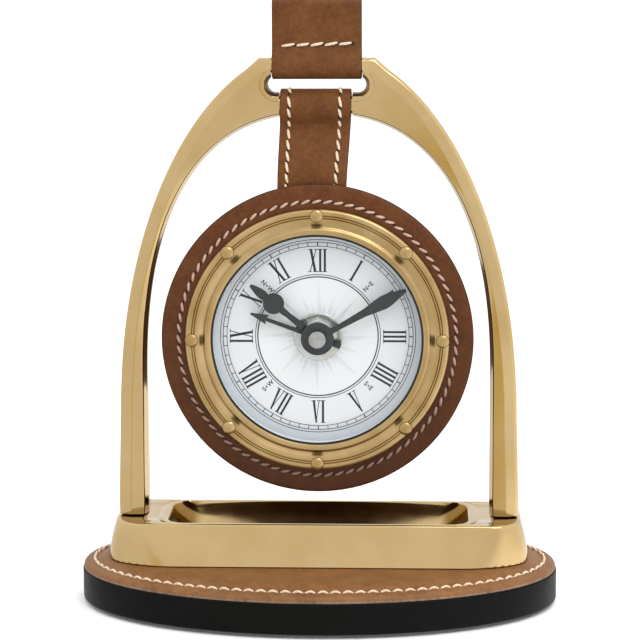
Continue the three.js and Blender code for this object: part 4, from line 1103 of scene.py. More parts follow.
@dataclass
class Plinth:
    """The oval plinth: felt, lacquered block and stitched leather top."""

    length: float = 169.0
    depth: float = 101.0
    bottom: float = 1.0
    top: float = 12.2
    leather_top: float = 16.65
    leather_fall: float = 1.55
    leather_inset: float = 0.4
    seam_inset: float = 4.3
    stitch_count: int = 95
    points: int = 192
    foot_edge: float = 1.1
    top_edge: float = 0.66
    round_out: float = 3.2
    round_up: float = 2.1
    crown_run: float = 4.8
    bore: float = 5.6
    bore_top: float = 7.0

    def ring(self, inset: float, z: float) -> list[Vector]:
        """An oval that many millimetres inside the plinth's edge, at height z.

        Args:
            inset: Distance from the plinth's edge.
            z: The height.

        Returns:
            The oval's points in metres.
        """
        a, b = self.length / 2 - inset, self.depth / 2 - inset
        steps = (math.tau * k / self.points for k in range(self.points))
        return [mm(a * math.cos(t), b * math.sin(t), z) for t in steps]

    def build(self) -> None:
        """Models the block, the leather and the seam."""
        repaint(FELT, "felt_pad")
        foot, top = self.foot_edge, self.top_edge
        rings = [self.ring(foot * (1 - math.sin(t)), self.bottom + foot * (1 - math.cos(t)))
                 for t in QUARTER]
        rings += [self.ring(top * (1 - math.cos(t)), self.top - top * (1 - math.sin(t)))
                  for t in QUARTER]
        block = skinned("plinth_block", rings)
        drill_pair(block, [(0, self.bottom - 1), (self.bore, self.bottom - 1),
                           (self.bore, self.bore_top), (SCREW_HOLE, self.bore_top),
                           (SCREW_HOLE, self.top + 1), (0, self.top + 1)])
        dress(shaded(block), BLACK_LACQUER, Body.STAND, "black_lacquer", "plinth")
        self.build_leather()

    def build_leather(self) -> None:
        """Models the leather top with its burnished edge and its sunk seam."""
        inset, seam = self.leather_inset, self.seam_inset
        edge_top = self.leather_top - self.leather_fall
        levels = [(inset + 0.15, self.top + 0.02), (inset, self.top + 0.3)]
        levels += [(inset + self.round_out * (1 - math.cos(t)),
                    edge_top - self.round_up * (1 - math.sin(t)))
                   for t in (math.radians(11.25 * k) for k in range(9))]
        levels += [(seam - 0.5, edge_top - 0.08), (seam, edge_top - 0.16),
                   (seam + 0.6, edge_top - 0.02)]
        levels += [(seam + 0.6 + self.crown_run * k / 6,
                    edge_top + self.leather_fall * smooth(k / 6)) for k in range(1, 7)]
        pad = skinned("plinth_leather_pad", [self.ring(i, z) for i, z in levels])
        drill_pair(pad, rod(SCREW_HOLE, 0, 20))
        split_finish(pad, TOP_LEATHER, TOP_EDGE, self.is_cut_edge)
        dress(shaded(pad, 50), TOP_LEATHER, Body.STAND, "top_leather", "plinth_leather")
        self.build_seam()

    def is_cut_edge(self, face: Face) -> bool:
        """Tells the leather's cut outer edge from its top and its screw holes.

        Args:
            face: A face of the leather.

        Returns:
            Whether it lies on the cut edge.
        """
        a, b = self.length / 2 * MM, self.depth / 2 * MM
        outer = (face.center.x / a) ** 2 + (face.center.y / b) ** 2 > 0.95
        return outer and abs(face.normal.z) < 0.75 and face.center.z < (self.top + 0.75) * MM

    def build_seam(self) -> None:
        """Sews the seam at even steps round the oval."""
        a, b = self.length / 2 - self.seam_inset, self.depth / 2 - self.seam_inset
        fine, z = 2880, self.leather_top - self.leather_fall - 0.12
        places = [mm(a * math.cos(math.tau * k / fine), b * math.sin(math.tau * k / fine), z)
                  for k in range(fine + 1)]
        lengths = [0.0]
        for start, end in zip(places, places[1:]):
            lengths.append(lengths[-1] + (end - start).length)
        pitch = lengths[-1] / self.stitch_count
        spots, reached = [], 0
        for k in range(self.stitch_count):
            while lengths[reached] < k * pitch:
                reached += 1
            after = places[(reached + 1) % fine]
            spots.append((places[reached], after - places[reached], UP))
        Seam("plinth_seam", spots, pitch / MM, Body.STAND, "top_leather",
             radius=0.5, rise=0.85, reach=0.9).build()


@dataclass
class Stirrup:
    """The cast stirrup: footplate with its tray, bow, crown with eye and bars."""

    bottom: float = 16.7
    top: float = 31.5
    basin_half: float = 53.0
    basin_deep: float = 16.0
    basin_drop: float = 9.5
    basin_slope: float = 15.0
    lip: float = 0.35
    foot_half: float = 74.1
    foot_taper: float = 2.5
    foot_deep: float = 21.5
    foot_draft: float = 3.0
    inner_half: float = 60.4
    inner_spring: float = 78.2
    inner_rise: float = 95.3
    inner_power: float = 2.44
    outer_half: float = 69.8
    outer_spring: float = 68.2
    outer_rise: float = 129.0
    bow_top: float = 193.0
    seam: float = 0.3
    head_half: float = 20.0
    shoulder_half: float = 30.6
    shoulder_drop: float = 9.4
    eye_z: float = 183.8
    eye_half_length: float = 18.0
    eye_half_height: float = 3.8
    lower_bar_z: float = 176.7
    lower_bar: float = 3.3
    upper_bar_z: float = 190.3
    upper_bar: float = 2.7
    bar_run: float = 16.1
    loop_run: float = 15.8
    strap_run: Point = (-13.0, 12.3)
    screw_grip: float = 13.0
    foot_edge: float = 0.45
    arch_steps: int = 150

    def build(self) -> None:
        """Models the footplate, the bow and what holds them."""
        self.build_tread()
        self.build_bow()
        repaint(STEEL, "foot_screw_left", "foot_washer_left", "foot_screw_right",
                "foot_washer_right")

    @staticmethod
    def plan(half: float, deep: float, reach_x: float, reach_y: float, power: float,
             z: float) -> list[Vector]:
        """A ring with straight sides and oval corners, drawn at the same shares of its length.

        Args:
            half: Half its size along X.
            deep: Half its size along Y.
            reach_x: How far a corner reaches along X.
            reach_y: How far it reaches along Y.
            power: 2 is round, more is squarer.
            z: Height.

        Returns:
            The ring's points in metres, counter-clockwise from the right end.
        """
        flat = max(deep - reach_y, 0.5)
        quarter = [(half, flat * k / 5) for k in range(5)]
        shares = [1 - 0.34 * (1 - math.cos(math.radians(90 * k / 22))) for k in range(23)]
        shares += [0.66 * (1 - k / 6) for k in range(1, 7)]
        for share in shares:
            x = half * share
            run = max(0.0, (x - half + reach_x) / reach_x)
            quarter.append((x, flat + (deep - flat) * (1 - run ** power) ** (1 / power)))
        upper = quarter + [(-x, y) for x, y in reversed(quarter[:-1])]
        points = upper + [(x, -y) for x, y in reversed(upper[1:-1])]
        return [mm(x, y, z) for x, y in points]

    def tray_ring(self, grow: float, z: float) -> list[Vector]:
        """The tray's outline, grown or shrunk by some millimetres.

        Args:
            grow: How far outside the tray's outline it lies.
            z: The height.

        Returns:
            The ring's points in metres.
        """
        deep = min(self.basin_deep + grow, 16.0 + grow * 0.25)
        return self.plan(self.basin_half + grow, deep, 7.0 + grow * 0.35, 8.5 + grow * 0.4,
                         2.2, z)

    def build_tread(self) -> None:
        """Models the footplate: flared wall, rounded rim, raised lip and tray."""
        start, wall = self.bottom + 0.4, self.top - self.bottom - 1.4
        # How far up the wall, how far in, and the height.
        levels = [(0.0, 0.35, self.bottom + 0.02), (0.02, 0.0, start)]
        levels += [(k / 6, 0.0, start + wall * k / 6) for k in range(1, 7)]
        levels += [(1.0, 0.12, self.top - 0.62), (1.0, 0.35, self.top - 0.3),
                   (1.0, 0.65, self.top - 0.08), (1.0, 1.05, self.top)]
        rings = [self.plan(self.foot_half - self.foot_taper * share ** 1.8 - inset,
                           self.foot_deep - self.foot_draft * share - inset,
                           25.0 - 14.5 * share, 15.0 - 2.5 * share, 2.1, z)
                 for share, inset, z in levels]
        tread = skinned("footplate", rings + self.basin_rings())
        drill_pair(tread, rod(SCREW_HOLE, 0, 40))
        split_finish(shaded(tread, 40), CAST_BRASS, TRAY_BRASS, self.is_in_tray)
        dress(tread, CAST_BRASS, Body.STAND, "cast_brass", "tread")

    def is_in_tray(self, face: Face) -> bool:
        """Tells the tray's hollow from the rest of the footplate.

        Args:
            face: A face of the footplate.

        Returns:
            Whether it lies in the tray.
        """
        spot = face.center / MM
        within = abs(spot.x) < self.basin_half and abs(spot.y) < self.basin_deep
        return within and self.bottom + 1 < spot.z < self.top - 0.5

    def basin_rings(self) -> list[list[Vector]]:
        """Rings from the land over the lip down to the tray's floor.

        Returns:
            The rings, from the outside in.
        """
        rings = []
        # How far out of the tray, how far down, and how deep the groove is at the tray's ends.
        land = [(4.4, 0.0, 0.0), (4.0, 0.0, 0.3), (3.5, 0.0, 0.35), (3.1, 0.0, 0.1),
                (2.2, 0.0, 0.0), (1.2, 0.0, 0.0), (0.4, 0.06, 0.0), (0.0, self.lip, 0.0)]
        for grow, drop, groove in land:
            ring = self.tray_ring(grow, self.top - drop)
            for point in ring:
                ends = smooth((abs(point.x) / MM - self.basin_half + 3) / 5)
                point.z -= groove * ends * MM
            rings.append(ring)
        for k in range(1, 17):
            share = (k / 16) ** 1.3
            # Steep under the lip, then hollow like a trough.
            fall = 0.13 * (1 - (1 - share) ** 12) + 0.87 * (1 - (1 - share) ** 1.4)
            rings.append(self.tray_ring(
                -self.basin_slope * share,
                self.top - self.lip - (self.basin_drop - self.lip) * fall))
        return rings

    def half_depth(self, z: float) -> float:
        """Half the bow's depth at height z: wide feet, even branches, slim crown.

        Args:
            z: The height.

        Returns:
            Half the depth in millimetres.
        """
        start = self.top + self.seam
        foot = 1 - smooth((z - start) / (self.inner_spring - start))
        crown = smooth((z - self.inner_spring) / (self.bow_top - self.inner_spring))
        return 5.6 + foot * 1.4 - crown

    def flare(self, z: float) -> float:
        """How much the branches swell outwards towards their feet."""
        return 0.9 * (1 - smooth((z - self.top) / (self.inner_spring - self.top)))

    def inner_edge(self, angle: float) -> tuple[Vector, Vector]:
        """Point and outward direction on the arch's inner line, 0 at the right spring.

        Args:
            angle: How far round the arch, in radians.

        Returns:
            The point as X and Z, and the direction.
        """
        c, s = math.cos(angle), math.sin(angle)
        root = 2 / self.inner_power
        x = self.inner_half * math.copysign(abs(c) ** root, c)
        rise = self.inner_rise * abs(s) ** root
        slope = self.inner_power - 1
        normal = Vector((
            math.copysign((abs(x) / self.inner_half) ** slope, x) / self.inner_half,
            (rise / self.inner_rise) ** slope / self.inner_rise,
        )).normalized()
        return Vector((x, self.inner_spring + rise)), normal

    def outer_point(self, point: Vector, normal: Vector) -> Vector:
        """Where the line from the inner edge meets the outer line: oval, shoulder or top.

        Args:
            point: A point of the inner line, as X and Z.
            normal: The line's direction.

        Returns:
            The point of the outer line.
        """
        p = Vector((point.x / self.outer_half, (point.y - self.outer_spring) / self.outer_rise))
        n = Vector((normal.x / self.outer_half, normal.y / self.outer_rise))
        a, b, c = n.dot(n), p.dot(n), p.dot(p) - 1
        reach = (-b + math.sqrt(b * b - a * c)) / a
        run = self.shoulder_half - self.head_half
        side = math.copysign(1.0, point.x)
        # The shoulder is the line from the crown's corner down to the oval.
        across = Vector((side * self.shoulder_drop, run))
        corner = Vector((side * self.head_half, self.bow_top))
        facing = across.dot(normal)
        if facing > 0:
            shoulder = across.dot(corner - point) / facing
            hit = point + normal * shoulder
            if hit.y > self.bow_top - self.shoulder_drop and abs(hit.x) > self.head_half - 1:
                reach = max(reach, shoulder)
        if point.y + reach * normal.y > self.bow_top:
            reach = (self.bow_top - point.y) / normal.y
        return point + normal * reach

    def stations(self) -> list[tuple[Vector, Vector]]:
        """Pairs of inner and outer points from the right foot over the crown to the left.

        Returns:
            The pairs, each point as X and Z.
        """
        start = self.top + self.seam
        heights = [start + (self.inner_spring - start) * k / 14 for k in range(14)]
        right = [(Vector((self.inner_half, z)), Vector((self.outer_half + self.flare(z), z)))
                 for z in heights]
        left = [(Vector((-i.x, i.y)), Vector((-o.x, o.y))) for i, o in reversed(right)]
        arch = [self.inner_edge(math.pi * k / self.arch_steps) for k in range(self.arch_steps + 1)]
        return right + [(point, self.outer_point(point, way)) for point, way in arch] + left

    def section(self, inner: Vector, outer: Vector, inset: float = 0.0) -> list[Vector]:
        """One cross-section of the bow: a low roof front and back, and a drafted inner wall.

        Args:
            inner: The inner point, as X and Z.
            outer: The outer one.
            inset: How far the section is shrunk.

        Returns:
            The section's points in metres.
        """
        middle = (inner + outer) / 2
        across = (outer - inner).normalized()
        width = (outer - inner).length / 2 - inset
        depth = self.half_depth(middle.y) - inset
        # From the outer edge, then from the inner one: how far in and how far down.
        roof = [(0.0, 2.5), (0.1, 1.9), (0.35, 1.4), (0.75, 1.05), (1.25, 0.82), (4.05, 0.1),
                (4.3, 0.03), (4.6, 0.03)]
        wall = [(1.6, 0.32), (1.38, 0.38), (1.18, 0.52), (1.03, 0.74), (0.95, 1.0), (0.3, 3.4),
                (0.1, 3.9), (0.0, 4.3)]
        half = [(width - u, depth - v) for u, v in roof]
        half += [(-width + u, depth - v) for u, v in wall]
        points = half + [(u, -v) for u, v in reversed(half)]
        places = [(middle + across * u, v) for u, v in points]
        return [mm(place.x, v, place.y) for place, v in places]

    def foot_rings(self, station: tuple[Vector, Vector]) -> list[list[Vector]]:
        """Makes the two rings that round a foot's edge.

        Args:
            station: The foot's inner and outer points.

        Returns:
            The ring that stands on the footplate, and the one just above it.
        """
        rings = []
        for inset, lift in ((self.foot_edge, 0.0), (self.foot_edge * 0.3, 0.25)):
            ring = self.section(*station, inset)
            for point in ring:
                point.z = (self.top + self.seam + lift) * MM
            rings.append(ring)
        return rings

    def build_bow(self) -> None:
        """Models the bow, then cuts its eye and windows and adds the bars."""
        stations = self.stations()
        rings = self.foot_rings(stations[0])
        rings += [self.section(inner, outer) for inner, outer in stations[1:-1]]
        rings += reversed(self.foot_rings(stations[-1]))
        bow = skinned("bow_casting", rings)
        combine(bow, self.collar(), "UNION")
        combine(bow, self.eye_tool(), "DIFFERENCE")
        windows = ((-self.loop_run, self.loop_run, self.eye_z + 1.9, self.bow_top + 2),
                   (*self.strap_run, self.lower_bar_z - self.lower_bar - 3, self.eye_z - 1.9))
        for left, right, low, high in windows:
            outline = [mm(left, -12, low), mm(right, -12, low), mm(right, -12, high),
                       mm(left, -12, high)]
            combine(bow, prism("tool", outline, mm(0, 24, 0)), "DIFFERENCE")
        half = self.bar_run + 1
        for radius, z in ((self.upper_bar, self.upper_bar_z), (self.lower_bar, self.lower_bar_z)):
            bar = turned("tool", rod(radius, -half, half), mm(0, 0, z), ACROSS, UP, 32)
            combine(bow, bar, "UNION")
        start = self.top + self.seam
        drill_pair(bow, rod(SCREW_HOLE, start - 1, start + self.screw_grip + 1))
        shaded(bow, 30)
        apply_modifier(bow, "WEIGHTED_NORMAL", keep_sharp=True, weight=80)
        split_finish(bow, CAST_BRASS, DULL_DARK_BRASS, self.is_dull_dark_brass)
        dress(bow, CAST_BRASS, Body.STAND, "cast_brass", "bow_left", "bow_right", "bow_crown")

    def is_dull_dark_brass(self, face: Face) -> bool:
        """Tells the eye's inside and the branches' inner edge, out of the mop's reach, which are
        dull and painted dark for a dark reflection.

        Args:
            face: A face of the bow.

        Returns:
            Whether it keeps the casting's skin, painted dark.
        """
        place, normal = face.center / MM, face.normal
        if abs(normal.y) > 0.93:
            return False
        if place.z < 104.0 and normal.x * place.x < 0 and 0.5 < abs(normal.x) < 0.9:
            return abs(normal.z) < 0.3
        return abs(place.z - self.eye_z) < 3.9 and 12.0 < abs(place.x) < 18.2

    def slot_ring(self, grow: float, y: float, points: int = 12) -> list[Vector]:
        """A stadium round the eye, grown by some millimetres, at depth y.

        Args:
            grow: How far it is grown.
            y: Its depth.
            points: How many steps a round end has.

        Returns:
            The ring's points in metres.
        """
        radius = self.eye_half_height + grow
        run = self.eye_half_length - self.eye_half_height
        ring = []
        for side, start in ((1, -90), (-1, 90)):
            for k in range(points + 1):
                t = math.radians(start + 180 * k / points)
                ring.append(mm(side * run + radius * math.cos(t), y,
                               self.eye_z + radius * math.sin(t)))
        return ring

    def collar(self) -> Object:
        """The low raised rim round the eye, front and back.

        Returns:
            The rim, a closed piece.
        """
        face = self.half_depth(self.eye_z) + 0.3
        levels = [(1.5, -face), (1.75, -face + 0.12), (1.9, -face + 0.4), (1.9, face - 0.4),
                  (1.75, face - 0.12), (1.5, face)]
        return skinned("tool", [self.slot_ring(grow, y) for grow, y in levels])

    def eye_tool(self) -> Object:
        """The cutter of the eye, flared at both faces so that the rim is rounded.

        Returns:
            The cutter.
        """
        face = self.half_depth(self.eye_z) + 0.3
        edge = 0.5
        half = [(1.2, -face - 1.0)]
        half += [(edge * (1 - math.sin(t)), -face + edge * (1 - math.cos(t))) for t in QUARTER]
        half += [(-math.sin(t), -face + edge + k / 2) for k, t in enumerate(QUARTER) if k]
        levels = half + [(grow, -y) for grow, y in reversed(half)]
        return skinned("tool", [self.slot_ring(grow, y) for grow, y in levels])


# Straps

@dataclass
class Strap:
    """A doubled leather strap: a flat band that runs round a bar.

    Args:
        name: The piece's name.
        node: The CAD node that it stands for.
        body: The CAD body that it rides on.
        ply: The leather's thickness.
        closed: Whether its ends meet.
        bar_z: Height of the bar.
        bar: The bar's radius.
        gap: Room between bar and leather.
        leave: How far above or below the bar's middle the leather leaves it.
        closes: How far from the bar's middle the two plies meet.
    """

    name: str
    node: str
    body: Body
    ply: float
    closed: bool
    bar_z: float = 0.0
    bar: float = 0.0
    gap: float = 0.3
    leave: float = math.radians(22)
    closes: float = 7.0

    @property
    def turn(self) -> float:
        """Radius of the leather's middle line round the bar."""
        return self.bar + self.gap + self.ply / 2

    def on_bar(self, angle: float) -> Point:
        """A point of the middle line round the bar."""
        return self.turn * math.cos(angle), self.bar_z + self.turn * math.sin(angle)

    def half_width(self, z: float) -> float:
        """Half the strap's width at height z."""
        raise NotImplementedError

    def aside(self, z: float) -> float:
        """How far left of the middle the strap lies at height z."""
        return 0.0

    def path(self) -> list[Point]:
        """The middle line of the leather, as Y and Z pairs."""
        raise NotImplementedError

    def section(self, half: float) -> list[Point]:
        """A band's cross-section with eased edges: across and through.

        Args:
            half: Half the band's width.

        Returns:
            The section's points in millimetres.
        """
        thick = self.ply / 2
        ease = min(0.45, thick * 0.55)
        corner = [(ease * (1 - math.cos(math.radians(t))), ease * (1 - math.sin(math.radians(t))))
                  for t in (0, 30, 60, 90)]
        right = [(half - x, thick - y) for x, y in corner]
        left = [(-x, y) for x, y in reversed(right)]
        spread = [(half - ease) * k / 4 for k in (3, 2, 1, 0, -1, -2, -3)]
        upper = right + [(x, thick) for x in spread] + left
        return upper + [(-x, -y) for x, y in upper]

    def build(self) -> Object:
        """Skins the band along its path and burnishes its cut edges.

        Returns:
            The band.
        """
        path = [Vector(p) for p in self.path()]
        rings = []
        count = len(path)
        for k, point in enumerate(path):
            before = path[(k - 1) % count] if self.closed or k else point
            after = path[(k + 1) % count] if self.closed or k + 1 < count else point
            tangent = (after - before).normalized()
            normal = Vector((tangent.y, -tangent.x))
            aside = self.aside(point.y)
            rings.append([mm(x - aside, *(point + normal * through))
                          for x, through in self.section(self.half_width(point.y))])
        band = skinned(self.name, rings, self.closed)
        split_finish(band, STRAP_LEATHER, BURNISHED, lambda face: abs(face.normal.x) > 0.6)
        return shaded(band, 50)


@dataclass
class PullLoop(Strap):
    """The loop through the eye: round the upper bar, stitched above it and folded at its top."""

    bar_z: float = 190.3
    bar: float = 2.7
    width: float = 31.0
    loop_top: float = 213.0
    stitch_pitch: float = 4.9
    stitch_height: float = 7.3

    def half_width(self, z: float) -> float:
        """The loop is even in width."""
        return self.width / 2

    def path(self) -> list[Point]:
        """Up the front, over the fold, down the back and round the bar.

        Returns:
            The middle line, as Y and Z pairs.
        """
        half = self.ply / 2
        start_y, start_z = self.on_bar(math.pi - self.leave)
        end_y, end_z = -half - 0.02, self.bar_z + self.closes
        side = [(start_y + (end_y - start_y) * smooth(k / 9), start_z + (end_z - start_z) * k / 9)
                for k in range(10)]
        straight = [(end_y, end_z + k * 1.6) for k in range(1, 8)]
        fold_z = self.loop_top - self.ply
        fold = [(-half * math.cos(math.radians(t)), fold_z + half * math.sin(math.radians(t)))
                for t in range(0, 91, 18)]
        front = side + straight + fold
        back = [(-y, z) for y, z in reversed(front[:-1])]
        sweep = math.pi + 2 * self.leave
        return front + back + [self.on_bar(self.leave - sweep * k / 18) for k in range(1, 18)]

    def make(self) -> None:
        """Builds the loop and its one row of stitches, front and back."""
        dress(self.build(), STRAP_LEATHER, self.body, "strap_leather", self.node)
        pitch, height = self.stitch_pitch, self.bar_z + self.stitch_height
        for side, facing in ((-1, "front"), (1, "back")):
            spots = [(mm(k * pitch, side * (self.ply + 0.05), height + k * 0.12), ACROSS * -side,
                      Vector((0, side, 0))) for k in range(-2, 3)]
            Seam(f"loop_seam_{facing}", spots, pitch, self.body, "strap_leather",
                 radius=0.52, rise=0.8, turn=9.0, reach=0.88, proud=0.1).build()


@dataclass
class HangingStrap(Strap):
    """The strap that the clock hangs from: round the lower bar and down into the case."""

    bar_z: float = 176.7
    bar: float = 3.3
    top_half: float = 12.3
    end_half: float = 11.9
    top_lean: float = 0.4
    end_lean: float = 1.9
    end_z: float = 137.7
    bend: float = 16.0
    forward: float = 4.2
    stitch_pitch: float = 3.75
    first_stitch: float = -1.3

    def half_width(self, z: float) -> float:
        """The strap narrows a little towards the clock."""
        share = smooth((self.bar_z - z) / (self.bar_z - self.end_z))
        return self.top_half + (self.end_half - self.top_half) * share

    def aside(self, z: float) -> float:
        """How far left the strap hangs at height z."""
        share = smooth((self.bar_z + 4 - z) / (self.bar_z - self.end_z))
        return self.top_lean + (self.end_lean - self.top_lean) * share

    def bend_at(self, down: float) -> float:
        """How far forward the strap lies, that far below the bar."""
        return self.forward * smooth((down - self.closes) / self.bend)

    def path(self) -> list[Point]:
        """Up the front ply, round the bar and down the back ply.

        Returns:
            The middle line, as Y and Z pairs.
        """
        inner = -self.ply / 2 - 0.02
        end = self.bar_z - self.end_z
        downs = [self.closes + (end - self.closes) * k / 22 for k in range(23)]
        front = [(inner - self.bend_at(down), self.bar_z - down) for down in reversed(downs)]
        start_y, start_z = self.on_bar(math.pi + self.leave)
        start = self.bar_z - start_z
        for k in range(1, 10):
            share = 1 - k / 10
            front.append((start_y + (inner - start_y) * smooth(share),
                          self.bar_z - start - (self.closes - start) * share))
        sweep = math.pi + 2 * self.leave
        over = [self.on_bar(math.pi + self.leave - sweep * k / 18) for k in range(19)]
        back = [(-y - 2 * self.bend_at(self.bar_z - z), z) for y, z in reversed(front)]
        return front + over + back

    def make(self) -> None:
        """Builds the strap and its two stitched rows, front and back."""
        dress(self.build(), STRAP_LEATHER, self.body, "strap_leather", self.node)
        pitch = self.stitch_pitch
        for side, facing in ((-1, "front"), (1, "back")):
            for hand, edge, edge_gap in ((-1, "left", 3.2), (1, "right", 3.8)):
                spots = [self.stitch_spot(self.first_stitch + k * pitch, side, hand, edge_gap)
                         for k in range(-1, 10)]
                Seam(f"strap_seam_{facing}_{edge}", spots, pitch, self.body, "strap_leather",
                     radius=0.5, rise=0.55, turn=-11.0 * side, reach=0.92, proud=0.1).build()

    def stitch_spot(self, down: float, side: int, hand: int,
                    edge_gap: float) -> tuple[Vector, Vector, Vector]:
        """Finds where a stitch lies on the strap.

        Args:
            down: How far below the bar's middle.
            side: -1 on the front, 1 on the back.
            hand: -1 in the left row, 1 in the right one.
            edge_gap: Distance from the strap's edge.

        Returns:
            The stitch's middle, the seam's direction and the leather's outward direction.
        """
        z = self.bar_z - down
        ahead = self.bend_at(down + 0.5) - self.bend_at(down - 0.5)
        slope = self.outside(down + 0.5) - self.outside(down - 0.5)
        along = Vector((0, side * slope - ahead, -1.0))
        normal = along.cross(ACROSS)
        if normal.y * side < 0:
            normal = -normal
        x = hand * (self.half_width(z) - edge_gap) - self.aside(z)
        return mm(x, side * self.outside(down) - self.bend_at(down), z), along, normal

    def outside(self, down: float) -> float:
        """Half the strap's whole thickness that far below the bar.

        Args:
            down: How far below the bar's middle.

        Returns:
            Half the thickness in millimetres.
        """
        half, start = self.ply / 2, self.turn * math.sin(self.leave)
        if down >= self.closes:
            return self.ply
        if down <= start:
            return math.sqrt((self.turn + half) ** 2 - min(down, 0.0) ** 2)
        share = (down - start) / (self.closes - start)
        wide = self.turn * math.cos(self.leave)
        return half + wide + (half - wide) * smooth(share)


# Clock

@dataclass
class Clock:
    """The hanging clock: case, leather ring, bezel, glass, dial, hands and movement."""

    height: float = HAND_AXIS[2]
    setback: float = 5.5
    drum: float = 50.5
    drum_edge: float = 1.1
    bore: float = 40.9
    drum_half: float = 12.0
    notch: tuple[float, float, float, float] = (-14.2, 13.2, 41.9, 60.0)
    leather: float = 54.5
    leather_front: float = 14.0
    seam: float = 48.4
    stitch_count: int = 80
    bezel: float = 46.1
    bezel_front: float = 16.4
    lip: float = 37.0
    skirt_bore: float = 38.8
    skirt: float = 40.6
    dial_back: float = 6.9
    dial_front: float = 7.5
    pin_circle: float = 43.7
    pin_head: float = 2.35
    pin_count: int = 8

    @property
    def centre(self) -> Vector:
        """The point on the hand axis that depths are measured from."""
        return mm(0, self.setback, self.height)

    def at(self, x: float, up: float, depth: float) -> Vector:
        """A point of the clock: across, up from the hand axis and forwards."""
        return mm(x, self.setback - depth, self.height + up)

    def dial_points(self, outline: Sequence[Point], turn: float, depth: float) -> list[Vector]:
        """Turns an outline clockwise about the hand axis.

        Args:
            outline: Points across and up from the axis, in millimetres.
            turn: The angle in degrees.
            depth: How far forward the points lie.

        Returns:
            The points in their place.
        """
        angle = math.radians(turn)
        return [self.at(x * math.cos(angle) + y * math.sin(angle),
                        -x * math.sin(angle) + y * math.cos(angle), depth) for x, y in outline]

    def build(self) -> None:
        """Models the clock from its case to its glass."""
        self.build_case()
        self.build_ring()
        self.build_bezel()
        self.build_pins()
        self.build_glass()
        self.build_back()

    def build_case(self) -> None:
        """Models the turned case with the notch for the strap."""
        half, edge = self.drum_half, self.drum_edge
        profile = [(self.bore, -half + 0.4), (self.bore + 0.4, -half)]
        profile += [(self.drum - edge * (1 - math.sin(t)), -half + edge * (1 - math.cos(t)))
                    for t in QUARTER]
        profile += [(self.drum, half), (self.bore, half)]
        case = turned("case_turned", profile, self.centre)
        left, right, low, high = self.notch
        corners = ((left, low), (right, low), (right, high), (left, high))
        notch = prism("tool", [self.at(x, up, 7.4) for x, up in corners], mm(0, -6, 0))
        combine(case, notch, "DIFFERENCE")
        dress(shaded(case), CASE_LACQUER, Body.CLOCK, "black_lacquer", "case_drum")
        repaint(STEEL, "strap_screw_left", "strap_screw_right")

    def build_ring(self) -> None:
        """Models the leather ring: eased outer edge, sunk seam and soft crown."""
        front, back, rim, seam = self.leather_front, self.drum_half, self.leather, self.seam
        profile = [(self.bore, back + 0.02), (rim - 0.3, back + 0.02), (rim - 0.06, back + 0.25),
                   (rim, back + 0.6), (rim, front - 0.75), (rim - 0.12, front - 0.42),
                   (rim - 0.38, front - 0.18), (rim - 0.8, front - 0.05), (rim - 1.4, front),
                   (seam + 1.1, front), (seam + 0.5, front - 0.14), (seam, front - 0.22),
                   (seam - 0.5, front - 0.14), (seam - 1.1, front - 0.02),
                   (self.bezel + 0.1, front - 0.02), (self.bore, front - 0.02)]
        ring = turned("face_leather_ring", profile, self.centre, steps=192)
        split_finish(ring, FACE_LEATHER, BURNISHED, self.is_rim)
        dress(shaded(ring, 50), FACE_LEATHER, Body.CLOCK, "face_leather", "face_leather")
        turns = [math.tau * k / self.stitch_count for k in range(self.stitch_count)]
        spots = [(self.at(seam * math.sin(t), seam * math.cos(t), front - 0.12),
                  Vector((math.cos(t), 0, -math.sin(t))), FORWARD) for t in turns]
        Seam("face_seam", spots, math.tau * seam / self.stitch_count, Body.CLOCK, "face_leather",
             FACE_THREAD, radius=0.5, rise=0.6, turn=20.0, reach=0.8).build()

    def is_rim(self, face: Face) -> bool:
        """Whether a face lies on the leather ring's burnished outer edge."""
        out = math.hypot(face.center.x, face.center.z - self.height * MM)
        return out > (self.leather - 0.5) * MM

    def build_bezel(self) -> None:
        """Models the bezel: flange, double line, cove, bead, lip, skirt and tabs."""
        top, r = self.bezel_front, self.bezel
        back = self.dial_back - 0.6
        profile = [(self.skirt_bore, back), (self.skirt, back), (self.skirt, self.leather_front),
                   (r - 0.1, self.leather_front + 0.01), (r, self.leather_front + 0.1),
                   (r, top - 1.1), (r - 0.12, top - 0.75), (r - 0.38, top - 0.38),
                   (r - 0.75, top - 0.12), (r - 1.1, top)]
        for groove in (43.75, 42.95):
            profile += [(groove + 0.22, top), (groove + 0.1, top - 0.26), (groove, top - 0.36),
                        (groove - 0.1, top - 0.26), (groove - 0.22, top)]
        profile += [(42.3, top - 0.02), (41.6, top - 0.1), (40.8, top - 0.42),
                    (40.2, top - 0.72), (39.8, top - 0.78), (39.5, top - 0.6),
                    (39.2, top - 0.25), (38.9, top - 0.05), (38.5, top + 0.02),
                    (37.4, top - 0.25), (37.12, top - 0.42), (self.lip, top - 0.75),
                    (self.lip, top - 1.0), (self.skirt_bore, top - 1.0)]
        ring = turned("bezel_turned", profile, self.centre, steps=192)
        dress(shaded(ring, 28), TURNED_BRASS, Body.CLOCK, "turned_brass", "bezel")
        corners = [(3.0, 39.0), (-3.0, 39.0), (-2.5, 36.5), (2.5, 36.5)]
        tabs = [prism(f"tab_{k}", self.dial_points(corners, 90.0 - 90.0 * k, back),
                      mm(0, -0.58, 0)) for k in range(4)]
        dress(shaded(joined("bezel_tabs", tabs)), TURNED_BRASS, Body.CLOCK, "turned_brass")
        self.build_lip()

    def build_lip(self) -> None:
        """Adds the black gasket that seals the crystal under the lip; its dark ring also stands for
        the bezel's shadow at the dial's edge.
        """
        low = self.bezel_front - 0.98
        profile = [(36.35, low), (self.lip + 0.02, low), (self.lip + 0.02, low + 0.3),
                   (36.5, low + 0.3), (36.35, low + 0.15)]
        gasket = turned("lip_gasket", profile, self.centre, steps=160)
        dress(shaded(gasket), GASKET, Body.CLOCK, "black_plastic")

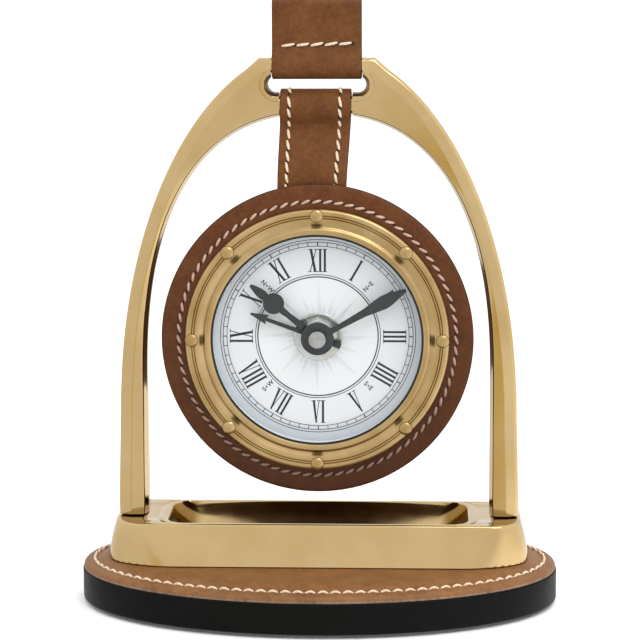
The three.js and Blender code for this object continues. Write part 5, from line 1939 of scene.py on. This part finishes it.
    def build_pins(self) -> None:
        """Models one domed pin and copies it round the bezel."""
        top, head = self.bezel_front, self.pin_head
        dome = [(head * math.cos(math.radians(t)), top + 0.25 + 1.05 * math.sin(math.radians(t)))
                for t in range(0, 90, 12)]
        profile = [(0, 5.0), (0.8, 6.0), (0.8, top), (head - 0.12, top + 0.01),
                   (head, top + 0.1)] + dome + [(0, top + 1.3)]
        pin = turned("pin", profile, self.centre, steps=32)
        shaded(pin, 50)
        for k in range(self.pin_count):
            turn = math.tau * k / self.pin_count
            place = Matrix.Translation(mm(self.pin_circle * math.sin(turn), 0,
                                          self.pin_circle * math.cos(turn)))
            copy = duplicate(pin, f"pin_{k + 1}", place)
            dress(copy, PIN_BRASS, Body.CLOCK, "turned_brass", f"bezel_pin_{k + 1}")
        bpy.data.objects.remove(pin)

    def build_glass(self) -> None:
        """Models the domed crystal and dresses what lies under it."""
        rim, back = self.bezel_front - 1.0, self.bezel_front - 2.2
        dome, rise, edge = 36.6, 1.5, 38.5
        shares = [k / 10 for k in range(11)]
        profile = [(dome * s, back + rise * (1 - s * s)) for s in shares]
        profile += [(edge, back), (edge, rim)]
        profile += [(dome * s, rim + rise * (1 - s * s)) for s in reversed(shares)]
        crystal = turned("crystal", profile, self.centre, steps=128)
        dress(shaded(crystal, 30), CRYSTAL, Body.CLOCK, "clear_glass", "glass")
        repaint(WHITE_PLASTIC, "dial_spacer")
        repaint(TURNED_BRASS, "centre_bushing")

    def build_back(self) -> None:
        """Dresses the movement, its cell and its controls."""
        for node, kind, width, finish, body in (
                ("movement_case", "moulded", 0.5, BLACK_PLASTIC, Body.CLOCK),
                ("movement_cover", "moulded", 0.4, BLACK_PLASTIC, Body.CLOCK),
                ("time_knob", "ribbed", 0.12, KNOB_PLASTIC, Body.TIME_KNOB),
                ("alarm_knob", "ribbed", 0.12, KNOB_PLASTIC, Body.ALARM_KNOB),
                ("alarm_switch", "tab", 0.3, KNOB_PLASTIC, Body.SLIDER)):
            copy = soft_copy(node, f"{node}_{kind}", width)
            dress(copy, finish, body, "black_plastic", node)
        repaint(CELL_JACKET, "battery")
        repaint(STEEL, "battery_contact_minus", "battery_contact_plus")


class Way(Enum):
    """Which way the tops of a numeral point."""

    OUT = 1
    IN = -1


@dataclass
class Dial:
    """The printed dial: rings, minute ticks, Roman numerals, compass marks and faint rays."""

    clock: Clock
    ink: float = 0.03
    numeral_foot: float = 22.9
    numeral_top: float = 31.0

    def build(self) -> None:
        """Paints the dial and prints on it."""
        repaint(DIAL_WHITE, "dial")
        self.rings()
        self.ticks()
        self.numerals()
        self.rays()
        self.compass()

    def annulus(self, radius: float, width: float) -> Object:
        """One printed ring.

        Args:
            radius: Its middle radius.
            width: The line's width.

        Returns:
            The ring.
        """
        low = self.clock.dial_front
        profile = [(radius - width / 2, low), (radius + width / 2, low),
                   (radius + width / 2, low + self.ink), (radius - width / 2, low + self.ink)]
        return turned("ring", profile, self.clock.centre, steps=160)

    def rings(self) -> None:
        """Prints the minute track's three lines and the double inner ring."""
        made = [self.annulus(r, w) for r, w in
                ((34.3, 0.26), (33.4, 0.26), (32.0, 0.23), (21.95, 0.27), (21.15, 0.45))]
        dress(joined("dial_rings", made), FINE_INK, Body.CLOCK, "hand_black")

    def strokes(self, name: str, quads: Sequence[Sequence[Point]], turn: float) -> list[Object]:
        """Prints four-sided strokes, turned clockwise by an angle in degrees.

        Args:
            name: The strokes' name.
            quads: Their corners, across and up.
            turn: The angle.

        Returns:
            The strokes.
        """
        low = self.clock.dial_front
        return [prism(f"{name}_{k}", self.clock.dial_points(quad, turn, low),
                      mm(0, -self.ink, 0)) for k, quad in enumerate(quads)]

    def ticks(self) -> None:
        """Prints the sixty minute ticks."""
        made, low, high = [], 32.05, 33.35
        for k in range(60):
            half = 0.13 if k % 5 else 0.2
            quad = [(-half, low), (half, low), (half, high), (-half, high)]
            made += self.strokes(f"tick_{k}", [quad], k * 6)
        dress(joined("dial_ticks", made), FINE_INK, Body.CLOCK, "hand_black")

    def glyph(self, letter: str, left: float) -> tuple[list[list[Point]], float]:
        """Strokes of one Roman letter, 1 high, from its left side.

        Args:
            letter: I, V or X.
            left: Where the letter starts.

        Returns:
            The strokes and the letter's width.
        """
        thick, thin, serif = 0.095, 0.032, 0.034
        width = {"I": 0.2, "V": 0.41, "X": 0.42}[letter]
        right, mid = left + width, left + width / 2
        strokes = []
        if letter == "I":
            feet = [(mid - thick / 2, 0, mid + thick / 2, 1), (left + 0.01, 0, right - 0.01, serif),
                    (left + 0.01, 1 - serif, right - 0.01, 1)]
        elif letter == "V":
            strokes = [
                [(mid - 0.02, 0), (mid + 0.05, 0), (left + 0.06 + thick * 1.1, 1),
                 (left + 0.06, 1)],
                [(mid - 0.005, 0), (mid + 0.02, 0), (right - 0.05, 1),
                 (right - 0.05 - thin * 1.1, 1)],
            ]
            feet = [(left, 1 - serif, left + 0.2, 1), (right - 0.15, 1 - serif, right, 1)]
        else:
            strokes = [
                [(right - 0.06 - thick * 1.15, 0), (right - 0.06, 0),
                 (left + 0.06 + thick * 1.15, 1), (left + 0.06, 1)],
                [(left + 0.06, 0), (left + 0.06 + thin * 1.2, 0), (right - 0.05, 1),
                 (right - 0.05 - thin * 1.2, 1)],
            ]
            feet = [(left, 0, left + 0.15, serif), (right - 0.2, 0, right, serif),
                    (left, 1 - serif, left + 0.2, 1), (right - 0.15, 1 - serif, right, 1)]
        strokes += [[(a, b), (c, b), (c, d), (a, d)] for a, b, c, d in feet]
        return strokes, width

    def numerals(self) -> None:
        """Prints the twelve numerals; four to eight stand with their tops inwards."""
        words = ("XII", "I", "II", "III", "IIII", "V", "VI", "VII", "VIII", "IX", "X", "XI")
        made = []
        tall = self.numeral_top - self.numeral_foot
        for hour, word in enumerate(words):
            way = Way.IN if 4 <= hour <= 8 else Way.OUT
            strokes, wide = [], 0.0
            for letter in word:
                more, width = self.glyph(letter, wide)
                strokes += more
                wide += width
            start = self.numeral_foot if way is Way.OUT else self.numeral_top
            quads = [[(way.value * (x - wide / 2) * tall, start + way.value * y * tall)
                      for x, y in quad] for quad in strokes]
            made += self.strokes(f"hour_{hour}", quads, hour * 30)
        dress(joined("dial_numerals", made), INK, Body.CLOCK, "hand_black")

    def rays(self) -> None:
        """Prints a faint wind rose of plain rays round the hand axis."""
        made = []
        long_ray, mid_ray, short_ray = (19.6, 1.7), (15.5, 1.2), (12.0, 0.8)
        for k in range(32):
            tip, half = (long_ray, short_ray, mid_ray, short_ray)[k % 4]
            quad = [(0.0, 7.0), (half, 9.0), (0.0, tip), (-half * 0.15, 9.0)]
            made += self.strokes(f"ray_{k}", [quad], k * 11.25)
        dress(joined("dial_rays", made), PALE_INK, Body.CLOCK, "dial_white")

    def compass(self) -> None:
        """Prints the four compass corner marks outside the inner ring."""
        made = []
        far, depth = 25.0, self.clock.dial_front + self.ink / 2
        for text, turn, tilt in (("N•E", 45, 45), ("S•E", 135, -45), ("S•W", 225, 45),
                                 ("N•W", 315, -45)):
            fresh()
            bpy.ops.object.text_add(location=(0, 0, 0))
            obj = bpy.context.active_object
            obj.data.body = text
            obj.data.size, obj.data.offset = 2.3 * MM, 0.045 * MM
            obj.data.space_character = 1.2
            obj.data.align_x = obj.data.align_y = "CENTER"
            obj.data.extrude = self.ink / 2 * MM
            bpy.ops.object.convert(target="MESH")
            spot = self.clock.dial_points([(0.0, far)], turn, depth)[0]
            obj.data.transform(Matrix.Translation(spot)
                               @ Matrix.Rotation(math.radians(90), 4, "X")
                               @ Matrix.Rotation(math.radians(tilt), 4, "Z"))
            made.append(obj)
        dress(joined("dial_compass_marks", made), INK, Body.CLOCK, "hand_black")


@dataclass
class Hands:
    """The hand works: washer, nut, pipes, three hands and the cap nut."""

    clock: Clock
    thickness: float = 0.4
    alarm_seat: float = 10.1
    hour_seat: float = 11.2
    minute_seat: float = 12.3

    def build(self) -> None:
        """Models the works from the dial outwards."""
        clock = self.clock
        low = clock.dial_front
        washer = [(4.3, low + 0.01), (8.4, low + 0.01), (8.5, low + 0.1), (8.5, low + 0.38),
                  (8.36, low + 0.5), (7.6, low + 0.5), (7.4, low + 0.44), (5.6, low + 0.44),
                  (5.4, low + 0.5), (4.3, low + 0.5)]
        dress(shaded(turned("dial_washer_plated", washer, clock.centre, steps=96)),
              STEEL, Body.CLOCK, "steel", "dial_washer")
        dress(soft_copy("dial_nut", "dial_nut_plated", 0.15), STEEL, Body.CLOCK, "steel",
              "dial_nut")
        repaint(TURNED_BRASS, "alarm_pipe", "hour_pipe", "minute_shaft")
        self.alarm_hand()
        self.hour_hand()
        self.minute_hand()
        self.cap()

    def blade(self, outline: Sequence[Point], seat: float, degrees: float) -> Object:
        """One flat shape of a hand, turned clockwise to its angle."""
        points = self.clock.dial_points(outline, degrees, seat)
        return prism("blade", points, mm(0, -self.thickness, 0))

    def hand(self, name: str, outlines: Sequence[Sequence[Point]], hub: float, hole: float,
             seat: float, degrees: float) -> Object:
        """Joins a hand's shapes to its hub, drills it and eases its edges.

        Args:
            name: The hand's name.
            outlines: Its flat shapes, pointing up.
            hub: The hub's radius.
            hole: The hole's radius.
            seat: How far forward its back lies.
            degrees: Its angle at rest.

        Returns:
            The hand.
        """
        top = seat + self.thickness
        whole = turned(name, rod(hub, seat, top), self.clock.centre, steps=48)
        for outline in outlines:
            combine(whole, self.blade(outline, seat, degrees), "UNION")
        drill = turned("tool", rod(hole, seat - 1, top + 1), self.clock.centre, steps=32)
        combine(whole, drill, "DIFFERENCE")
        take(whole)
        bpy.ops.object.mode_set(mode="EDIT")
        bpy.ops.mesh.select_all(action="SELECT")
        bpy.ops.mesh.dissolve_limited(angle_limit=math.radians(0.5))
        bpy.ops.object.mode_set(mode="OBJECT")
        apply_modifier(whole, "BEVEL", width=0.09 * MM, segments=2, limit_method="ANGLE",
                       angle_limit=math.radians(50))
        return shaded(whole, 40)

    @staticmethod
    def mirrored(points: Sequence[Point]) -> list[Point]:
        """Closes a half outline with its mirror image."""
        left = [(-x, y) for x, y in reversed(points) if abs(x) > 1e-6]
        return list(points) + left

    def alarm_hand(self) -> None:
        """The alarm hand: thin stem, arrowhead and short tail."""
        stem = self.mirrored([(0.8, 3.9), (0.62, 19.2), (1.75, 18.7), (0.3, 25.0)])
        tail = self.mirrored([(1.0, -4.0), (1.15, -8.3), (0.9, -8.6)])
        hand = self.hand("alarm_hand_painted", [stem, tail], 4.9, 3.4, self.alarm_seat, 290)
        dress(hand, HAND_PAINT, Body.ALARM, "hand_black", "alarm_hand")

    def hour_hand(self) -> None:
        """The hour hand: tapered stem with a round boss and a waisted tip."""
        stem = self.mirrored([(1.4, 2.9), (1.0, 13.0), (1.3, 16.6), (1.3, 22.6),
                              (1.65, 24.6), (1.5, 26.4), (0.75, 29.2), (0.4, 30.0)])
        round_out, up = 3.7, 19.6
        boss = [(round_out * math.sin(math.tau * k / 40),
                 up + round_out * math.cos(math.tau * k / 40)) for k in range(40)]
        hand = self.hand("hour_hand_painted", [stem, boss], 5.2, 2.6, self.hour_seat, 308.7)
        dress(hand, HAND_PAINT, Body.HOUR, "hand_black", "hour_hand")

    def minute_hand(self) -> None:
        """The minute hand: a blade that swells to three quarters and then comes to a point."""
        blade = self.mirrored([(1.1, 2.2), (0.95, 10.0), (1.35, 19.0), (2.2, 24.6), (2.45, 26.6),
                               (2.25, 28.6), (1.2, 33.0), (0.5, 35.4)])
        hand = self.hand("minute_hand_painted", [blade], 5.8, 1.7, self.minute_seat, 60.7)
        dress(hand, HAND_PAINT, Body.MINUTE, "hand_black", "minute_hand")

    def cap(self) -> None:
        """The cap nut that closes the stack."""
        low = self.minute_seat + self.thickness
        profile = [(0, low + 2.4), (2.7, low + 2.4), (2.95, low + 2.28), (3.05, low + 2.05),
                   (3.05, low + 0.1), (2.95, low), (1.7, low), (1.7, low + 1.5), (0, low + 1.5)]
        cap = turned("cap_nut_turned", profile, self.clock.centre, steps=48)
        dress(shaded(cap), SATIN_STEEL, Body.MINUTE, "steel", "cap_nut")


# Room

@dataclass
class Studio:
    """The pale floor, the soft light and the camera of the photograph."""

    distance: float = 850.0
    height: float = 247.4
    azimuth: float = 2.54
    pitch: float = 9.747
    roll: float = -0.24
    lens: float = 138.0
    shift: Point = (0.0029, -0.0017)
    low: float = 1.25
    zenith: float = 1.5
    back: float = -0.17
    side: float = 1.22
    glow: float = 1.28
    card: float = 0.85
    card_way: Vector = Vector((-0.263, -0.949, -0.174))
    card_angles: Point = (13.0, 6.0)
    key_place: Spot = (0.35, -0.55, 0.95)
    key_target: Spot = (0.0, 0.0, 0.1)
    key_size: Point = (0.6, 0.5)
    key_power: float = 4.0

    def build(self) -> None:
        """Lays the floor, sets the light and places the camera."""
        self.floor()
        self.light()
        self.camera()

    def floor(self) -> None:
        """A plain pale floor, far larger than the view."""
        fresh()
        bpy.ops.mesh.primitive_plane_add(size=12.0, location=(0, 0, -0.0002))
        floor = named("floor")
        floor.data.materials.append(PALE_FLOOR.material())
        floor.visible_diffuse = False
        floor.visible_glossy = False

    def key_light(self) -> None:
        """One weak soft box, up on the right, pointed at the clock."""
        fresh()
        bpy.ops.object.light_add(type="AREA", location=self.key_place)
        lamp = bpy.context.active_object
        lamp.name = "key"
        lamp.data.shape = "RECTANGLE"
        lamp.data.size, lamp.data.size_y = self.key_size
        lamp.data.energy = self.key_power
        way = Vector(self.key_place) - Vector(self.key_target)
        lamp.rotation_euler = way.to_track_quat("Z", "Y").to_euler()

    def light(self) -> None:
        """Even pale surroundings, brighter above and right, with a weak warm shade in front."""
        bpy.context.scene.view_settings.view_transform = "Standard"
        world = bpy.data.worlds.new("studio")
        world.use_nodes = True
        tree = world.node_tree
        way = add_node(tree, "TexCoord").outputs["Generated"]
        parts = add_node(tree, "SeparateXYZ", {0: way}).outputs
        towards_card = add_node(tree, "VectorMath", {0: way, 1: tuple(self.card_way.normalized())},
                                operation="DOT_PRODUCT").outputs["Value"]
        rim, core = (math.cos(math.radians(t)) for t in self.card_angles)
        rise, back, side, shade, low = (
            add_node(tree, "MapRange", {
                "Value": value, "From Min": start, "From Max": end, "To Min": first,
                "To Max": last,
            }).outputs[0]
            for value, start, end, first, last in (
                (parts["Z"], -0.3, 0.9, self.low, self.zenith),
                (parts["Y"], 0.6, 0.9, 0.0, self.back),
                (parts["X"], 0.45, 0.8, 1.0, self.side),
                (towards_card, rim, core, 1.0, self.card),
                (parts["Z"], -0.1, -0.2, 1.0, self.glow)))
        glow = add_node(tree, "MapRange", {
            "Value": parts["X"], "From Min": 0.1, "From Max": 0.34, "To Min": 1.0, "To Max": low,
        }).outputs[0]
        strength = rise
        for factor in (side, shade, glow):
            strength = add_node(tree, "Math", {0: strength, 1: factor},
                                operation="MULTIPLY").outputs[0]
        strength = add_node(tree, "Math", {0: strength, 1: back}, operation="ADD").outputs[0]
        warmth = add_node(tree, "MapRange", {
            "Value": shade, "From Min": 1.0, "From Max": self.card}).outputs[0]
        tint = add_node(tree, "Mix", {0: warmth, 6: linear("#FFFFFF"), 7: linear("#FFEFB6")},
                        data_type="RGBA").outputs[2]
        background = tree.nodes["Background"]
        tree.links.new(strength, background.inputs["Strength"])
        tree.links.new(tint, background.inputs["Color"])
        bpy.context.scene.world = world
        self.key_light()

    def camera(self) -> None:
        """The photograph's camera, looking a little down at the clock."""
        azimuth, pitch = math.radians(self.azimuth), math.radians(self.pitch)
        place = mm(self.distance * math.sin(azimuth), -self.distance * math.cos(azimuth),
                   self.height)
        toward = Vector((-math.sin(azimuth) * math.cos(pitch),
                         math.cos(azimuth) * math.cos(pitch), -math.sin(pitch)))
        turn = toward.to_track_quat("-Z", "Y").to_matrix().to_4x4()
        turn = turn @ Matrix.Rotation(math.radians(self.roll), 4, "Z")
        data = bpy.data.cameras.new("camera")
        data.lens, data.sensor_width, data.clip_start = self.lens, 36.0, 0.01
        data.shift_x, data.shift_y = self.shift
        camera = bpy.data.objects.new("camera", data)
        camera.matrix_world = Matrix.Translation(place) @ turn
        bpy.context.collection.objects.link(camera)
        bpy.context.scene.camera = camera


def main() -> None:
    """Builds the clock piece by piece."""
    logging.basicConfig(level=logging.INFO, format="%(message)s")
    Plinth().build()
    Stirrup().build()
    PullLoop("pull_loop_leather", "pull_loop", Body.LOOP, 1.8, True).make()
    HangingStrap("hanging_strap_leather", "hanging_strap", Body.CLOCK, 2.0, False).make()
    clock = Clock()
    clock.build()
    Dial(clock).build()
    Hands(clock).build()
    Studio().build()
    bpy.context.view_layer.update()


if __name__ == "__main__":
    main()
